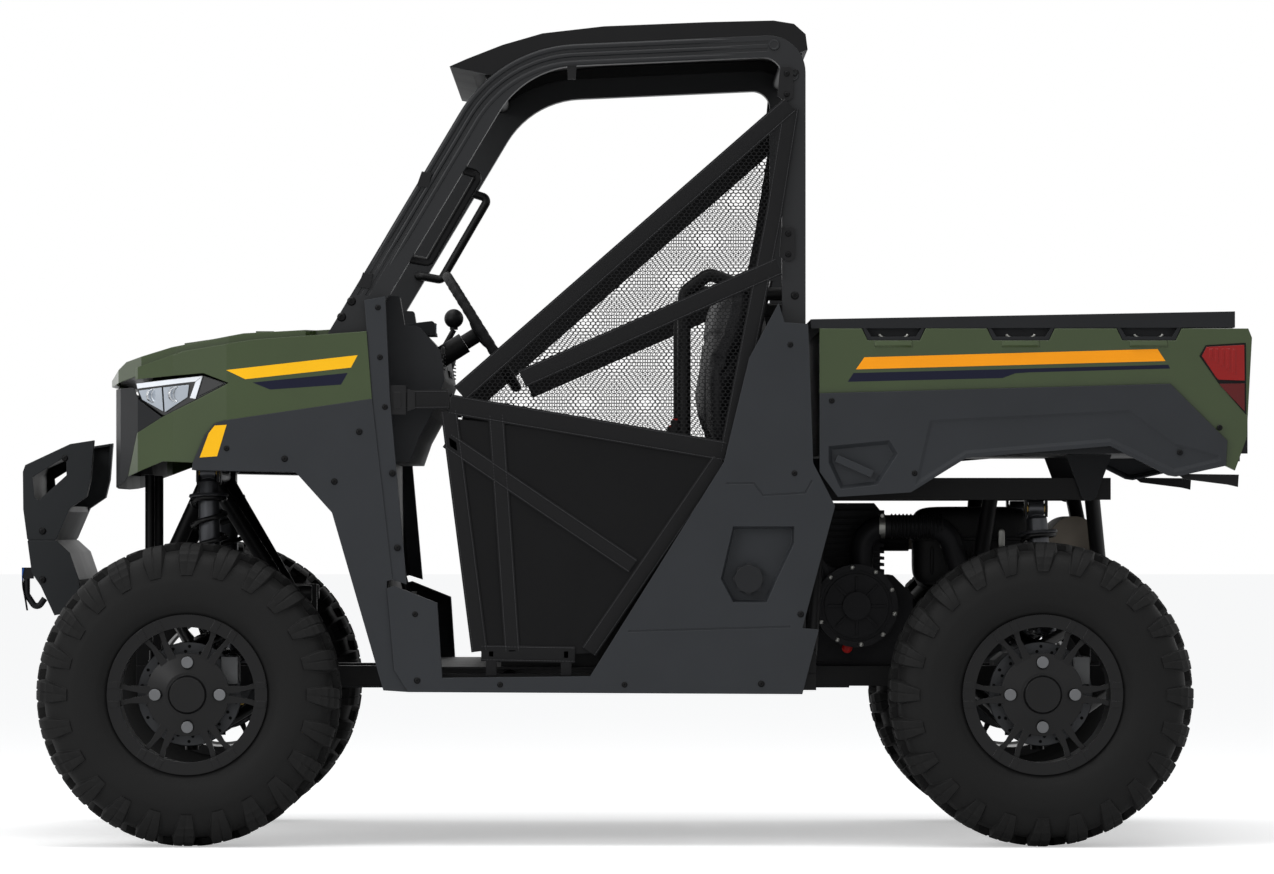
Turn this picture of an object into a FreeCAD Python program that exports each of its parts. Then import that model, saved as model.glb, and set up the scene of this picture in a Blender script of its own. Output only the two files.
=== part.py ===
import FreeCAD, Part
import math
import os

# Side by side utility vehicle: two axles, open cab with a tube cage, tipping bed.
# Row frame in millimetres: +X forward, +Y to the driver's side, +Z up, ground at Z = 0.

# Wheels and axles
WHEELBASE = 2057.0
FRONT_AXLE_X = 1051.5
TYRE_RADIUS = 367.0
FRONT_TYRE_WIDTH = 235.0
REAR_TYRE_WIDTH = 280.0
TRACK_OUTER_Y = 825.0
BEAD_RADIUS = 178.0
FLANGE_RADIUS = 193.0
FLANGE_WIDTH = 7.0
RIM_LIP = 20.0
BARREL_WALL = 9.0
CARCASS = 14.0
HUB_CAP_RADIUS = 47.0
WHEEL_PCD = 156.0
NUT_RADIUS = 14.0
SPOKES = 6
BRAKE_RADIUS = 125.0
SPOKE_DEPTH = 22.0
SPOKE_INSET = 36.0
PITCHES = 24
WALL_RADIUS = 262.0
GROOVE_RADIUS = 346.0

# Steering
KING_Y = 600.0
CARRIER_FACE = 38.0
CV_BORE = 36.0
CV_BALL = 30.0
STEER_ARM = 90.0
ROD_Z = 460.0
WHEEL_TILT = 32.0
STEERING_WHEEL = (351.0, 370.0, 1251.0)
STEERING_WHEEL_RADIUS = 175.0
STEERING_RIM = 14.0

# Frame tubes
RAIL_Y = 170.0
RAIL_SIZE = 50.0
RAIL_FRONT_X = 1215.0
RAIL_REAR_X = -1275.0
SILL_RAIL_Y = 630.0
SILL_RAIL_SIZE = 40.0
TUBE = 19.0
UPPER_RAIL_Z = 605.0
BED_RAIL_Y = 400.0
BED_RAIL_SIZE = 50.0
BED_RAIL_LOW = 837.0
BED_RAIL_HIGH = 891.0

# Suspension
FRONT_SHOCK_TOP = (1024.0, 398.0, 905.0)
FRONT_SHOCK_FOOT = (1008.0, 440.0)
SHOCK_EYE = 22.0
SPRING_RADIUS = 46.0
SPRING_DEPTH = 12.0
SPRING_TURNS = 6
SHAFT_RADIUS = 14.0

# Rear hitch
HITCH_OUTER = 63.5
HITCH_INNER = 50.8
HITCH_Z = 372.0
HITCH_MOUTH_X = -1420.0
HITCH_PIN_RADIUS = 8.0
HITCH_PIN_INSET = 25.0

# Front pieces carried by the frame
RADIATOR_LOW_Z = 900.0
TUB_LOW_Z = 945.0

# Body widths and walls
SIDE_Y = 741.0
PANEL = 5.0
PANEL_DEPTH = 41.0
FENDER_INNER_Y = 440.0
FENDER_Y = 735.0
POST_Y = 732.0
CAGE_Y = 700.0
CAGE_TUBE = 50.0
NET_Y = 718.0
NET_THICK = 3.0
FLOOR_Z = 425.0
FLOOR_THICK = 6.0
CAB_HALF = 640.0
DASH_FRONT_X = 583.0
DASH_LOW_Z = 928.0
SEAM = 0.3
MOVING_GAP = 5.0

# Load bed
BED_FRONT_X = -480.0
BED_REAR_X = -1478.0
BED_HALF = 695.0
BED_FLOOR_Z = 960.0
BED_TOP_Z = 1250.0
BED_WALL = 6.0
BED_SIDE_Y = 725.0
SKIRT_Y = 735.0
BED_PIVOT = (-1140.0, 856.0)
POCKETS = ((-573.0, -727.0), (-875.0, -1039.0), (-1188.0, -1345.0))
POCKET_LOW_Z = 1221.0
TAILGATE_HINGE = (-1500.0, 940.0)
TAILGATE_HALF = 654.0
PIVOT_RADIUS = 10.0
GATE_PIN_RADIUS = 5.0
HOOD_HINGE = (1256.0, 1112.5)
HOOD_PIN_RADIUS = 2.0
HOOD_BARREL = 4.2

# Seats
SEAT_HALF = 585.0
SEAT_SPLIT = 125.0
SEAT_GAP = 6.0
CUSHION_FRONT_X = 330.0
CUSHION_REAR_X = -140.0
CUSHION_Z = 850.0
CUSHION_TOP_Z = 950.0
SEAT_HINGE = (CUSHION_REAR_X - 10, CUSHION_Z)
SEAT_BARREL = 12.0
SEAT_PIN = 5.0

# Windscreen post: front edge of the cage, side view
A_FOOT = (757.0, 1172.0)
A_TOP = (304.0, 1930.0)
A_WIDTH = 80.0

REAR_AXLE_X = FRONT_AXLE_X - WHEELBASE
ARM_PIVOT_Y = RAIL_Y + RAIL_SIZE / 2 + TUBE + SEAM
REAR_SHOCK_TOP = (REAR_AXLE_X - 6.5, 408.0, BED_RAIL_LOW - SHOCK_EYE - SEAM)
REAR_SHOCK_FOOT = (REAR_AXLE_X - 46.5, 432.0)
AXLE_Z = TYRE_RADIUS
RAIL_Z = FLOOR_Z - SEAM - RAIL_SIZE / 2
KNUCKLE_LOW = AXLE_Z - 96
KNUCKLE_HIGH = AXLE_Z + 94
LOWER_BALL_Z = KNUCKLE_LOW - 28
UPPER_BALL_Z = KNUCKLE_HIGH + 15
SILL_RAIL_Z = RAIL_Z - (RAIL_SIZE - SILL_RAIL_SIZE) / 2


def vec(x, y, z):
    return FreeCAD.Vector(x, y, z)


def block(x0, x1, y0, y1, z0, z1):
    """A box between two corners."""
    low = vec(min(x0, x1), min(y0, y1), min(z0, z1))
    return Part.makeBox(abs(x1 - x0), abs(y1 - y0), abs(z1 - z0), low)


def outline(points, radius=0.0):
    """A closed wire in the XY plane with tangent arcs at its corners."""
    corners = [vec(p[0], p[1], 0) for p in points]
    radii = [p[2] if len(p) > 2 else radius for p in points]
    count = len(corners)
    trims = []
    for i in range(count):
        back = (corners[i - 1] - corners[i]).normalize()
        ahead = (corners[(i + 1) % count] - corners[i]).normalize()
        half = back.getAngle(ahead) / 2.0
        if radii[i] <= 0 or abs(half - math.pi / 2) < 0.01:
            trims.append((corners[i], corners[i], None))
            continue
        run = radii[i] / math.tan(half)
        middle = (back + ahead).normalize()
        near = corners[i] + middle * (radii[i] / math.sin(half) - radii[i])
        trims.append((corners[i] + back * run, corners[i] + ahead * run, near))
    edges = []
    for i in range(count):
        start, end, middle = trims[i]
        if middle is not None:
            edges.append(Part.Arc(start, middle, end).toShape())
        after = trims[(i + 1) % count][0]
        if (after - end).Length > 1e-6:
            edges.append(Part.LineSegment(end, after).toShape())
    return Part.Wire(edges)


def plate_y(points, y0, y1, radius=0.0):
    """A side-view outline (x, z) made solid between two widths."""
    face = Part.Face(outline(points, radius))
    face.rotate(vec(0, 0, 0), vec(1, 0, 0), 90)
    face.translate(vec(0, y0, 0))
    return face.extrude(vec(0, y1 - y0, 0))


def plate_z(points, z0, z1, radius=0.0):
    """A plan outline (x, y) made solid between two heights."""
    face = Part.Face(outline(points, radius))
    face.translate(vec(0, 0, z0))
    return face.extrude(vec(0, 0, z1 - z0))


def plate_x(points, x0, x1, radius=0.0):
    """A front-view outline (y, z) made solid between two stations."""
    face = Part.Face(outline(points, radius))
    face.rotate(vec(0, 0, 0), vec(1, 0, 0), 90)
    face.rotate(vec(0, 0, 0), vec(0, 0, 1), 90)
    face.translate(vec(x0, 0, 0))
    return face.extrude(vec(x1 - x0, 0, 0))


def inset(points, distance, y0, y1, radius=0.0):
    """A side-view solid whose outline lies inside the given one by a distance."""
    wire = outline(points, radius).makeOffset2D(-distance, 2)
    face = Part.Face(wire)
    face.rotate(vec(0, 0, 0), vec(1, 0, 0), 90)
    face.translate(vec(0, y0, 0))
    return face.extrude(vec(0, y1 - y0, 0))


def pressed(skin, points, y, depth, slope):
    """The skin with a pan of sloping sides pressed in from its outer face at y."""
    for grow, reach, add in ((PANEL, depth + PANEL, True), (0, depth, False)):
        rim_wire = outline(points)
        if grow:
            rim_wire = rim_wire.makeOffset2D(grow, 2)
        low_wire = rim_wire.makeOffset2D(-slope, 2)
        low_wire.translate(vec(0, 0, reach))
        pan = Part.makeLoft([rim_wire, low_wire], True, True)
        pan.rotate(vec(0, 0, 0), vec(1, 0, 0), 90)
        pan.translate(vec(0, y, 0))
        skin = skin.fuse(pan) if add else skin.cut(pan)
    return skin


def ribbon(line, width):
    """The outline of a band of one width along an open line (x, z)."""
    spots = [vec(p[0], p[1], 0) for p in line]
    near = []
    far = []
    for i, spot in enumerate(spots):
        back = (spot - spots[max(i - 1, 0)])
        ahead = (spots[min(i + 1, len(spots) - 1)] - spot)
        runs = [run.normalize() for run in (back, ahead) if run.Length > 0]
        middle = (runs[0] + runs[-1]).normalize()
        side = vec(-middle.y, middle.x, 0) * (width / 2 / max(middle.dot(runs[0]), 0.3))
        near.append((spot.x + side.x, spot.y + side.y))
        far.append((spot.x - side.x, spot.y - side.y))
    return near + far[::-1]


def scored(skin, line, y, width=5.0, depth=2.0):
    """The skin with a shallow line cut into its outer face at y."""
    return skin.cut(plate_y(ribbon(line, width), y - depth, y + 1))


def rod(start, end, radius):
    """A round bar between two points."""
    a = vec(*start)
    b = vec(*end)
    return Part.makeCylinder(radius, (b - a).Length, a, b - a)


def disc_y(x, z, radius, y0, y1):
    """A cylinder along Y between two widths."""
    return Part.makeCylinder(radius, abs(y1 - y0), vec(x, min(y0, y1), z), vec(0, 1, 0))


def ring_y(x, z, outer, inner, y0, y1):
    """A ring along Y between two widths."""
    return disc_y(x, z, outer, y0, y1).cut(disc_y(x, z, inner, y0 - 1, y1 + 1))


def spun(points, x, z):
    """A closed profile (radius, y) turned about the axle line through (x, z)."""
    wire = Part.makePolygon([vec(x + r, y, z) for r, y in points + points[:1]])
    return Part.Face(wire).revolve(vec(x, 0, z), vec(0, 1, 0), 360)


def bent_tube(points, radius, bend):
    """A round tube along straight runs joined by tangent arcs."""
    corners = [vec(*p) for p in points]
    edges = []
    start = corners[0]
    for i in range(1, len(corners) - 1):
        back = (corners[i - 1] - corners[i]).normalize()
        ahead = (corners[i + 1] - corners[i]).normalize()
        half = back.getAngle(ahead) / 2.0
        run = bend / math.tan(half)
        middle = (back + ahead).normalize()
        near = corners[i] + middle * (bend / math.sin(half) - bend)
        edges.append(Part.LineSegment(start, corners[i] + back * run).toShape())
        start = corners[i] + ahead * run
        edges.append(Part.Arc(corners[i] + back * run, near, start).toShape())
    edges.append(Part.LineSegment(start, corners[-1]).toShape())
    path = Part.Wire(edges)
    circle = Part.Circle(corners[0], corners[1] - corners[0], radius)
    section = Part.Wire([circle.toShape()])
    return path.makePipeShell([section], True, True)


def fused(shapes):
    """One solid from overlapping ones, with its flat faces merged."""
    return shapes[0].multiFuse(shapes[1:]).removeSplitter()


def mirrored(shape):
    """The same piece on the passenger's side."""
    return shape.mirror(vec(0, 0, 0), vec(0, 1, 0))


def pair(shape):
    """A piece and its mirror image."""
    return [shape, mirrored(shape)]


def save(name, shapes):
    """Writes the solids of one node."""
    solids = []
    for shape in shapes:
        solids += shape.Solids
    whole = solids[0] if len(solids) == 1 else Part.makeCompound(solids)
    if not whole.isValid():
        print("not valid:", name)
    whole.exportStep(os.path.join("parts", name + ".step"))


os.makedirs("parts", exist_ok=True)


# Wheels

def tyre(x, width):
    """A shell of flat facets: lug and gap take turns along each shoulder."""
    y_out = TRACK_OUTER_Y
    y_in = y_out - width
    spread = (WALL_RADIUS - BEAD_RADIUS) / (WALL_RADIUS - FLANGE_RADIUS)
    bead = (RIM_LIP + FLANGE_WIDTH + SEAM) * spread
    reach = 0.43 * width
    wall = [(BEAD_RADIUS, bead), (WALL_RADIUS, 0)]
    lug = [(TYRE_RADIUS, 20), (TYRE_RADIUS, reach), (GROOVE_RADIUS, reach + 6)]
    gap = [(GROOVE_RADIUS, 30)]
    sectors = 2 * PITCHES
    step = 2 * math.pi / sectors
    ease = 1 / math.cos(step / 2)

    def spot(r, y, k):
        turn = k * step - math.pi / 2
        far = r * ease if r < WALL_RADIUS else r
        return vec(x + far * math.cos(turn), y, AXLE_Z + far * math.sin(turn))

    faces = []
    for k in range(sectors):
        near, far = (lug, gap) if k % 2 == 0 else (gap, lug)
        across = [(r, y_out - d) for r, d in wall + near]
        across += [(r, y_in + d) for r, d in reversed(wall + far)]
        for (r0, y0), (r1, y1) in zip(across, across[1:] + across[:1]):
            corners = [spot(r0, y0, k), spot(r1, y1, k), spot(r1, y1, k + 1), spot(r0, y0, k + 1)]
            faces.append(Part.Face(Part.makePolygon(corners + corners[:1])))
        for edge, inward in ((y_out, -1), (y_in, 1)):
            side = [spot(r, edge + inward * d, k) for r, d in wall[1:] + lug + gap]
            faces.append(Part.Face(Part.makePolygon(side + side[:1])))
    shell = Part.makeShell(faces)
    shell.sewShape()
    body = Part.makeSolid(shell)
    if body.Volume < 0:
        body.reverse()
    room = plate_y([(x + 330 * math.cos(math.pi * i / 6), AXLE_Z + 330 * math.sin(math.pi * i / 6))
                    for i in range(12)], y_in + bead + CARCASS, y_out - bead - CARCASS)
    return body.cut(room)


def rim(x, width):
    """The barrel, its spoked face and the hub cap."""
    y_out = TRACK_OUTER_Y
    y_in = y_out - width
    seat = BEAD_RADIUS - SEAM
    bore = seat - BARREL_WALL
    lip_out = y_out - RIM_LIP
    lip_in = y_in + RIM_LIP
    barrel = spun([(seat, lip_in), (FLANGE_RADIUS, lip_in), (FLANGE_RADIUS, lip_in + FLANGE_WIDTH),
                   (seat, lip_in + FLANGE_WIDTH), (seat, lip_out - FLANGE_WIDTH),
                   (FLANGE_RADIUS, lip_out - FLANGE_WIDTH), (FLANGE_RADIUS, lip_out),
                   (bore - 6, lip_out), (bore - 6, lip_out - 12),
                   (bore, lip_out - 22), (bore, lip_in)], x, AXLE_Z)
    face_y = y_out - SPOKE_INSET
    back_y = face_y - SPOKE_DEPTH
    plate_r = WHEEL_PCD / 2 + NUT_RADIUS + 8
    plate = Part.makeCone(plate_r, HUB_CAP_RADIUS + 6, 12, vec(x, face_y - 6, AXLE_Z), vec(0, 1, 0))
    cap = Part.makeCone(HUB_CAP_RADIUS, HUB_CAP_RADIUS - 5, 10, vec(x, face_y + 6, AXLE_Z), vec(0, 1, 0))
    pieces = [barrel, plate, disc_y(x, AXLE_Z, plate_r, back_y, face_y - 6), cap]
    finger = [(plate_r - 12, 1), (plate_r - 12, 21), (140, 21), (bore + 2, 31), (bore + 2, 16), (114, 4)]
    tab = [(bore - 3, 15), (bore - 3, 31), (FLANGE_RADIUS - 5, 31), (FLANGE_RADIUS - 2, 15)]
    for i in range(SPOKES):
        for side in (1, -1):
            arm = plate_y([(x + r, AXLE_Z + side * w) for r, w in finger], back_y, face_y - 4)
            ear = plate_y([(x + r, AXLE_Z + side * w) for r, w in tab], lip_out - 5, lip_out + 3)
            for part in (arm, ear):
                part.rotate(vec(x, 0, AXLE_Z), vec(0, 1, 0), i * 360.0 / SPOKES)
                pieces.append(part)
    whole = fused(pieces)
    for spot_x, spot_z in nut_spots(x):
        whole = whole.cut(disc_y(spot_x, spot_z, NUT_RADIUS + 1, face_y - 6, face_y + 8))
    return whole


def nut_spots(x):
    """The centres of the four wheel nuts on their bolt circle."""
    spots = []
    for i in range(4):
        turn = math.radians(90 * i)
        spots.append((x + math.cos(turn) * WHEEL_PCD / 2, AXLE_Z + math.sin(turn) * WHEEL_PCD / 2))
    return spots


def hub(x, knuckle_y):
    """The hub with its brake disc, and four wheel nuts outside the spoked face."""
    face_y = TRACK_OUTER_Y - SPOKE_INSET
    back_y = face_y - SPOKE_DEPTH
    body = fused([disc_y(x, AXLE_Z, 42, knuckle_y, back_y),
                  disc_y(x, AXLE_Z, WHEEL_PCD / 2 + NUT_RADIUS, back_y - 12, back_y),
                  disc_y(x, AXLE_Z, BRAKE_RADIUS, back_y - 62, back_y - 57)])
    nuts = [disc_y(spot_x, spot_z, NUT_RADIUS, face_y - 6 + SEAM, face_y + 12)
            for spot_x, spot_z in nut_spots(x)]
    return [body] + nuts


def knuckle(x, y, steered):
    """The upright between the ball joints, with its brake caliper."""
    back_y = TRACK_OUTER_Y - SPOKE_INSET - SPOKE_DEPTH
    disc_face = back_y - 57
    upright = block(x - 24, x + 24, y - 16, y + 22, KNUCKLE_LOW, KNUCKLE_HIGH)
    carrier = disc_y(x, AXLE_Z, 58, y - 20, y + CARRIER_FACE)
    arm = block(x - 118, x - 78, y, y + 34, AXLE_Z + 20, AXLE_Z + 74)
    link = block(x - 100, x - 10, y, y + 34, AXLE_Z + 20, AXLE_Z + 56)
    caliper = block(x - 118, x - 78, y + 30, disc_face + 16, AXLE_Z + 24, AXLE_Z + 90)
    slot = disc_y(x, AXLE_Z, BRAKE_RADIUS + MOVING_GAP, disc_face - 5 - MOVING_GAP, disc_face + MOVING_GAP)
    pieces = [upright, carrier, arm, link, caliper]
    if steered:
        tip = FRONT_AXLE_X + STEER_ARM
        pieces.append(block(x, tip, y - 12, y + 12, ROD_Z - 30, ROD_Z - 14))
        pieces.append(Part.makeCylinder(16, 16, vec(tip, y, ROD_Z - 30), vec(0, 0, 1)))
    joint = disc_y(x, AXLE_Z, CV_BORE, y - 30, y + CARRIER_FACE - 5)
    return fused(pieces).cut(slot).cut(joint)


def save_wheels():
    for end, x, width, king in (("front", FRONT_AXLE_X, FRONT_TYRE_WIDTH, KING_Y),
                                ("rear", REAR_AXLE_X, REAR_TYRE_WIDTH, KING_Y - 25)):
        left_tyre = tyre(x, width)
        left_rim = rim(x, width)
        left_hub = hub(x, king + CARRIER_FACE + SEAM)
        save("tyre_" + end + "_left", [left_tyre])
        save("tyre_" + end + "_right", [mirrored(left_tyre)])
        save("rim_" + end + "_left", [left_rim])
        save("rim_" + end + "_right", [mirrored(left_rim)])
        save("hub_" + end + "_left", left_hub)
        save("hub_" + end + "_right", [mirrored(piece) for piece in left_hub])
    front = knuckle(FRONT_AXLE_X, KING_Y, True)
    save("knuckle_front_left", [front])
    save("knuckle_front_right", [mirrored(front)])
    save("knuckles_rear", pair(knuckle(REAR_AXLE_X, KING_Y - 25, False)))


# Suspension

def wishbone(x, y_ball, z_ball, z_pivot, x_front, x_rear):
    """One arm: two legs, two pivot eyes and a ball-joint boss."""
    y_pivot = ARM_PIVOT_Y
    ball = (x, y_ball, z_ball)
    legs = []
    for x_pivot in (x_front, x_rear):
        legs.append(rod((x_pivot, y_pivot, z_pivot), ball, 14))
        legs.append(rod((x_pivot - 25, y_pivot, z_pivot), (x_pivot + 25, y_pivot, z_pivot), TUBE))
    seat_z = KNUCKLE_HIGH + SEAM if z_ball > AXLE_Z else KNUCKLE_LOW - SEAM
    boss_end = z_ball + (14 if z_ball > AXLE_Z else -14)
    legs.append(rod((x, y_ball, seat_z), (x, y_ball, boss_end), 16))
    return fused(legs)


def lower_arm(x, y_ball, x_front, x_rear, shock_foot):
    """The lower arm with the cross pin that carries the shock."""
    z_ball = LOWER_BALL_Z
    arm = wishbone(x, y_ball, z_ball, RAIL_Z, x_front, x_rear)
    share = (y_ball - shock_foot[1]) / (y_ball - ARM_PIVOT_Y)
    z_pin = z_ball + share * (RAIL_Z - z_ball)
    pin = rod((x + share * (x_front - x), shock_foot[1], z_pin),
              (x + share * (x_rear - x), shock_foot[1], z_pin), 12)
    return fused([arm, pin])


def save_arms():
    for end, x, y, front, rear, foot in (
            ("front", FRONT_AXLE_X, KING_Y, 100, -250, FRONT_SHOCK_FOOT),
            ("rear", REAR_AXLE_X, KING_Y - 25, 176, -255, REAR_SHOCK_FOOT)):
        lower = lower_arm(x, y, x + front, x + rear, foot)
        upper = wishbone(x, y, UPPER_BALL_Z, UPPER_RAIL_Z, x + front, x + rear)
        save("arms_" + end, pair(lower) + pair(upper))


def spring(length):
    """The spring as one ribbed sleeve that stands on the origin along Z."""
    pitch = length / SPRING_TURNS
    inner = SPRING_RADIUS - SPRING_DEPTH
    points = [vec(0, 0, 0), vec(inner, 0, 0)]
    for i in range(SPRING_TURNS):
        points.append(vec(SPRING_RADIUS, 0, (i + 0.5) * pitch))
        points.append(vec(inner, 0, (i + 1) * pitch))
    points.append(vec(0, 0, length))
    face = Part.Face(Part.makePolygon(points + points[:1]))
    return face.revolve(vec(0, 0, 0), vec(0, 0, 1), 360)


def shock(top, foot, y_ball):
    """A damper with its coil spring between two cups, and an eye at each end."""
    z_ball = LOWER_BALL_Z
    share = (y_ball - foot[1]) / (y_ball - ARM_PIVOT_Y)
    a = vec(*top)
    b = vec(foot[0], foot[1], z_ball + share * (RAIL_Z - z_ball))
    along = (b - a).normalize()
    length = (b - a).Length
    run = length - 180
    sleeve = spring(run)
    sleeve.Placement = FreeCAD.Placement(a + along * 60, FreeCAD.Rotation(vec(0, 0, 1), along))
    tube = Part.makeCylinder(26, run * 0.6, a + along * 40, along)
    body = Part.makeCylinder(16, length, a, along)
    cups = [Part.makeCylinder(SPRING_RADIUS, 8, a + along * reach, along) for reach in (54, 58 + run)]
    eyes = [Part.makeCylinder(SHOCK_EYE, 2 * SHOCK_EYE, spot - vec(SHOCK_EYE, 0, 0), vec(1, 0, 0))
            for spot in (a, b)]
    bore = Part.makeCylinder(12 + SEAM, 120, b - vec(60, 0, 0), vec(1, 0, 0))
    return fused([tube, body, sleeve] + cups + eyes).cut(bore)


def save_shocks():
    front = shock(FRONT_SHOCK_TOP, FRONT_SHOCK_FOOT, KING_Y)
    rear = shock(REAR_SHOCK_TOP, REAR_SHOCK_FOOT, KING_Y - 25)
    save("shocks", pair(front) + pair(rear))


def shock_ears(top, y0, y1, z0, z1):
    """Two plates that hold the upper eye of a shock."""
    near = SHOCK_EYE + SEAM
    return [block(top[0] + side * near, top[0] + side * (near + 6), y0, y1, z0, z1)
            for side in (1, -1)]


# Frame

def rail(x0, x1, y, z, size):
    half = size / 2
    return block(x0, x1, y - half, y + half, z - half, z + half)


def save_frame():
    pieces = []
    low_z = RAIL_Z - RAIL_SIZE / 2
    run = vec(A_TOP[0] - A_FOOT[0], A_TOP[1] - A_FOOT[1], 0).normalize()
    foot = [(A_FOOT[0] - run.x * t - run.y * w, A_FOOT[1] - run.y * t + run.x * w)
            for t, w in ((SEAM, 0), (SEAM, A_WIDTH), (12, A_WIDTH), (12, 0))]
    foot_x = (foot[2][0] + foot[3][0]) / 2
    foot_z = (foot[2][1] + foot[3][1]) / 2
    post_y = CAGE_Y - CAGE_TUBE / 2
    top_x, top_y, top_z = FRONT_SHOCK_TOP
    for side in (1, -1):
        y = side * RAIL_Y
        pieces.append(rail(RAIL_REAR_X, RAIL_FRONT_X, y, RAIL_Z, RAIL_SIZE))
        pieces.append(rail(-465, 560, side * SILL_RAIL_Y, SILL_RAIL_Z, SILL_RAIL_SIZE))
        pieces.append(rail(780, RAIL_FRONT_X, y, UPPER_RAIL_Z, 40))
        for x in (800, 1195):
            pieces.append(block(x - 20, x + 20, y - 20, y + 20, RAIL_Z, UPPER_RAIL_Z))
        tower = (top_x, side * (top_y - 68), top_z - 5)
        for x in (845, 1170):
            pieces.append(rod((x, y, UPPER_RAIL_Z), tower, TUBE))
        pieces.append(block(top_x - 30, top_x + 30, side * (top_y - 88), side * (top_y - 26),
                            top_z - 30, top_z + 22))
        pieces += shock_ears(FRONT_SHOCK_TOP, side * (top_y - 30), side * (top_y + 24),
                             top_z - 24, top_z + 22)
        pieces.append(rod(tower, (foot_x, side * post_y, foot_z - 14), TUBE - 5))
        pieces.append(rod((548, side * post_y, SILL_RAIL_Z), (foot_x, side * post_y, foot_z - 8), TUBE - 1))
        pieces.append(block(515, 560, side * SILL_RAIL_Y, side * (post_y + 18), low_z, SILL_RAIL_Z + 20))
        pieces.append(plate_y(foot, side * (CAGE_Y - CAGE_TUBE), side * CAGE_Y))
        pieces.append(rail(1205, 1345 - SEAM, y, UPPER_RAIL_Z, 34))
        pieces.append(rod((1182, y, UPPER_RAIL_Z), (1182, y, RADIATOR_LOW_Z - SEAM), 12))
        pieces.append(block(top_x - 20, top_x + 20, side * 190, side * 250, top_z, TUB_LOW_Z - SEAM))
        for x in (540, 285, 45, -195, -440):
            pieces.append(rod((x, y, SILL_RAIL_Z), (x, side * SILL_RAIL_Y, SILL_RAIL_Z), TUBE))
    for x in (820, 540, 240, -60, -360, -650, -900):
        pieces.append(block(x - 25, x + 25, -RAIL_Y, RAIL_Y, low_z, low_z + 6))
    for x in (1195, -1262):
        pieces.append(rod((x, -RAIL_Y, RAIL_Z), (x, RAIL_Y, RAIL_Z), TUBE))
    pieces.append(rod((1195, -RAIL_Y, UPPER_RAIL_Z), (1195, RAIL_Y, UPPER_RAIL_Z), TUBE))
    pieces.append(rod((top_x, 68 - top_y, top_z - 5), (top_x, top_y - 68, top_z - 5), TUBE))
    whole = fused(pieces)
    for x in (FRONT_AXLE_X, REAR_AXLE_X):
        whole = whole.cut(disc_y(x, AXLE_Z, SHAFT_RADIUS + 5, -250, 250))
    save("frame_lower", [whole])


def receiver():
    """The square hitch socket with its cross pin hole."""
    half = HITCH_OUTER / 2
    socket = block(HITCH_MOUTH_X, -1281 - SEAM, -half, half, HITCH_Z - half, HITCH_Z + half)
    hole = HITCH_INNER / 2
    bore = block(HITCH_MOUTH_X - 1, -1310, -hole, hole, HITCH_Z - hole, HITCH_Z + hole)
    hanger = block(-1300, -1281 - SEAM, -half, half, HITCH_Z, RAIL_Z + 19)
    pin = disc_y(HITCH_MOUTH_X + HITCH_PIN_INSET, HITCH_Z, HITCH_PIN_RADIUS, -60, 60)
    return fused([socket, hanger]).cut(bore).cut(pin)


def frame_rear():
    """The rear frame under the bed: bed rails, uprights and suspension rails."""
    pieces = []
    top_x, top_y, top_z = REAR_SHOCK_TOP
    middle = (BED_RAIL_LOW + BED_RAIL_HIGH) / 2
    for side in (1, -1):
        y = side * BED_RAIL_Y
        half = BED_RAIL_SIZE / 2
        pieces.append(block(-462, -1195, y - half, y + half, BED_RAIL_LOW, BED_RAIL_HIGH))
        pieces.append(rod((-480, y, BED_RAIL_LOW + 20), (-450, side * 590, SILL_RAIL_Z + 60), TUBE))
        pieces.append(block(-465, -430, side * 570, side * 648, SILL_RAIL_Z + 20 + SEAM,
                            SILL_RAIL_Z + 75))
        for x in (-1205, -830):
            pieces.append(block(x - 20, x + 20, side * RAIL_Y - 20, side * RAIL_Y + 20,
                                RAIL_Z + RAIL_SIZE / 2 + SEAM, UPPER_RAIL_Z))
        pieces.append(rail(-1281, -800, side * RAIL_Y, UPPER_RAIL_Z, 40))
        for x, x_top in ((-875, -905), (-1190, -1150)):
            pieces.append(rod((x, side * RAIL_Y, UPPER_RAIL_Z),
                              (x_top, side * (BED_RAIL_Y - 20), middle), TUBE))
        pieces += shock_ears(REAR_SHOCK_TOP, side * (top_y - 24), side * (top_y + 16),
                             top_z - 20, BED_RAIL_LOW)
    for x in (-480, -715, -950, -1175):
        pieces.append(rod((x, -BED_RAIL_Y, middle), (x, BED_RAIL_Y, middle), TUBE))
    pieces.append(rod((-1262, -RAIL_Y, UPPER_RAIL_Z), (-1262, RAIL_Y, UPPER_RAIL_Z), TUBE))
    pivot_x, pivot_z = BED_PIVOT
    bore = disc_y(pivot_x, pivot_z, PIVOT_RADIUS + 0.05, -500, 500)
    return fused(pieces).cut(bore)


# Front bodywork

PLAN = [(480, 735), (960, 735), (1090, 710), (1180, 652), (1228, 560), (1250, 400), (1258, 200)]
HOOD_PLAN = [(702, 640), (748, 640), (770, 724), (955, 724), (1084, 699), (1172, 640), (1236, 520),
             (1264, 350), (1272, 150)]
CREASE = [(1186, 1156), (1065, 1196), (895, 1223), (622.5, 1243)]
GUARD = [(522, 372), (556, 425), (573, 623)]
FENDER_TOP = [(609.5, 1080), (964, 1028), (989, 1020), (1014, 990), (1042, 926)]


def both_sides(points):
    """A plan outline closed by its mirror image."""
    return points + [(x, -y) for x, y in reversed(points)]


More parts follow.
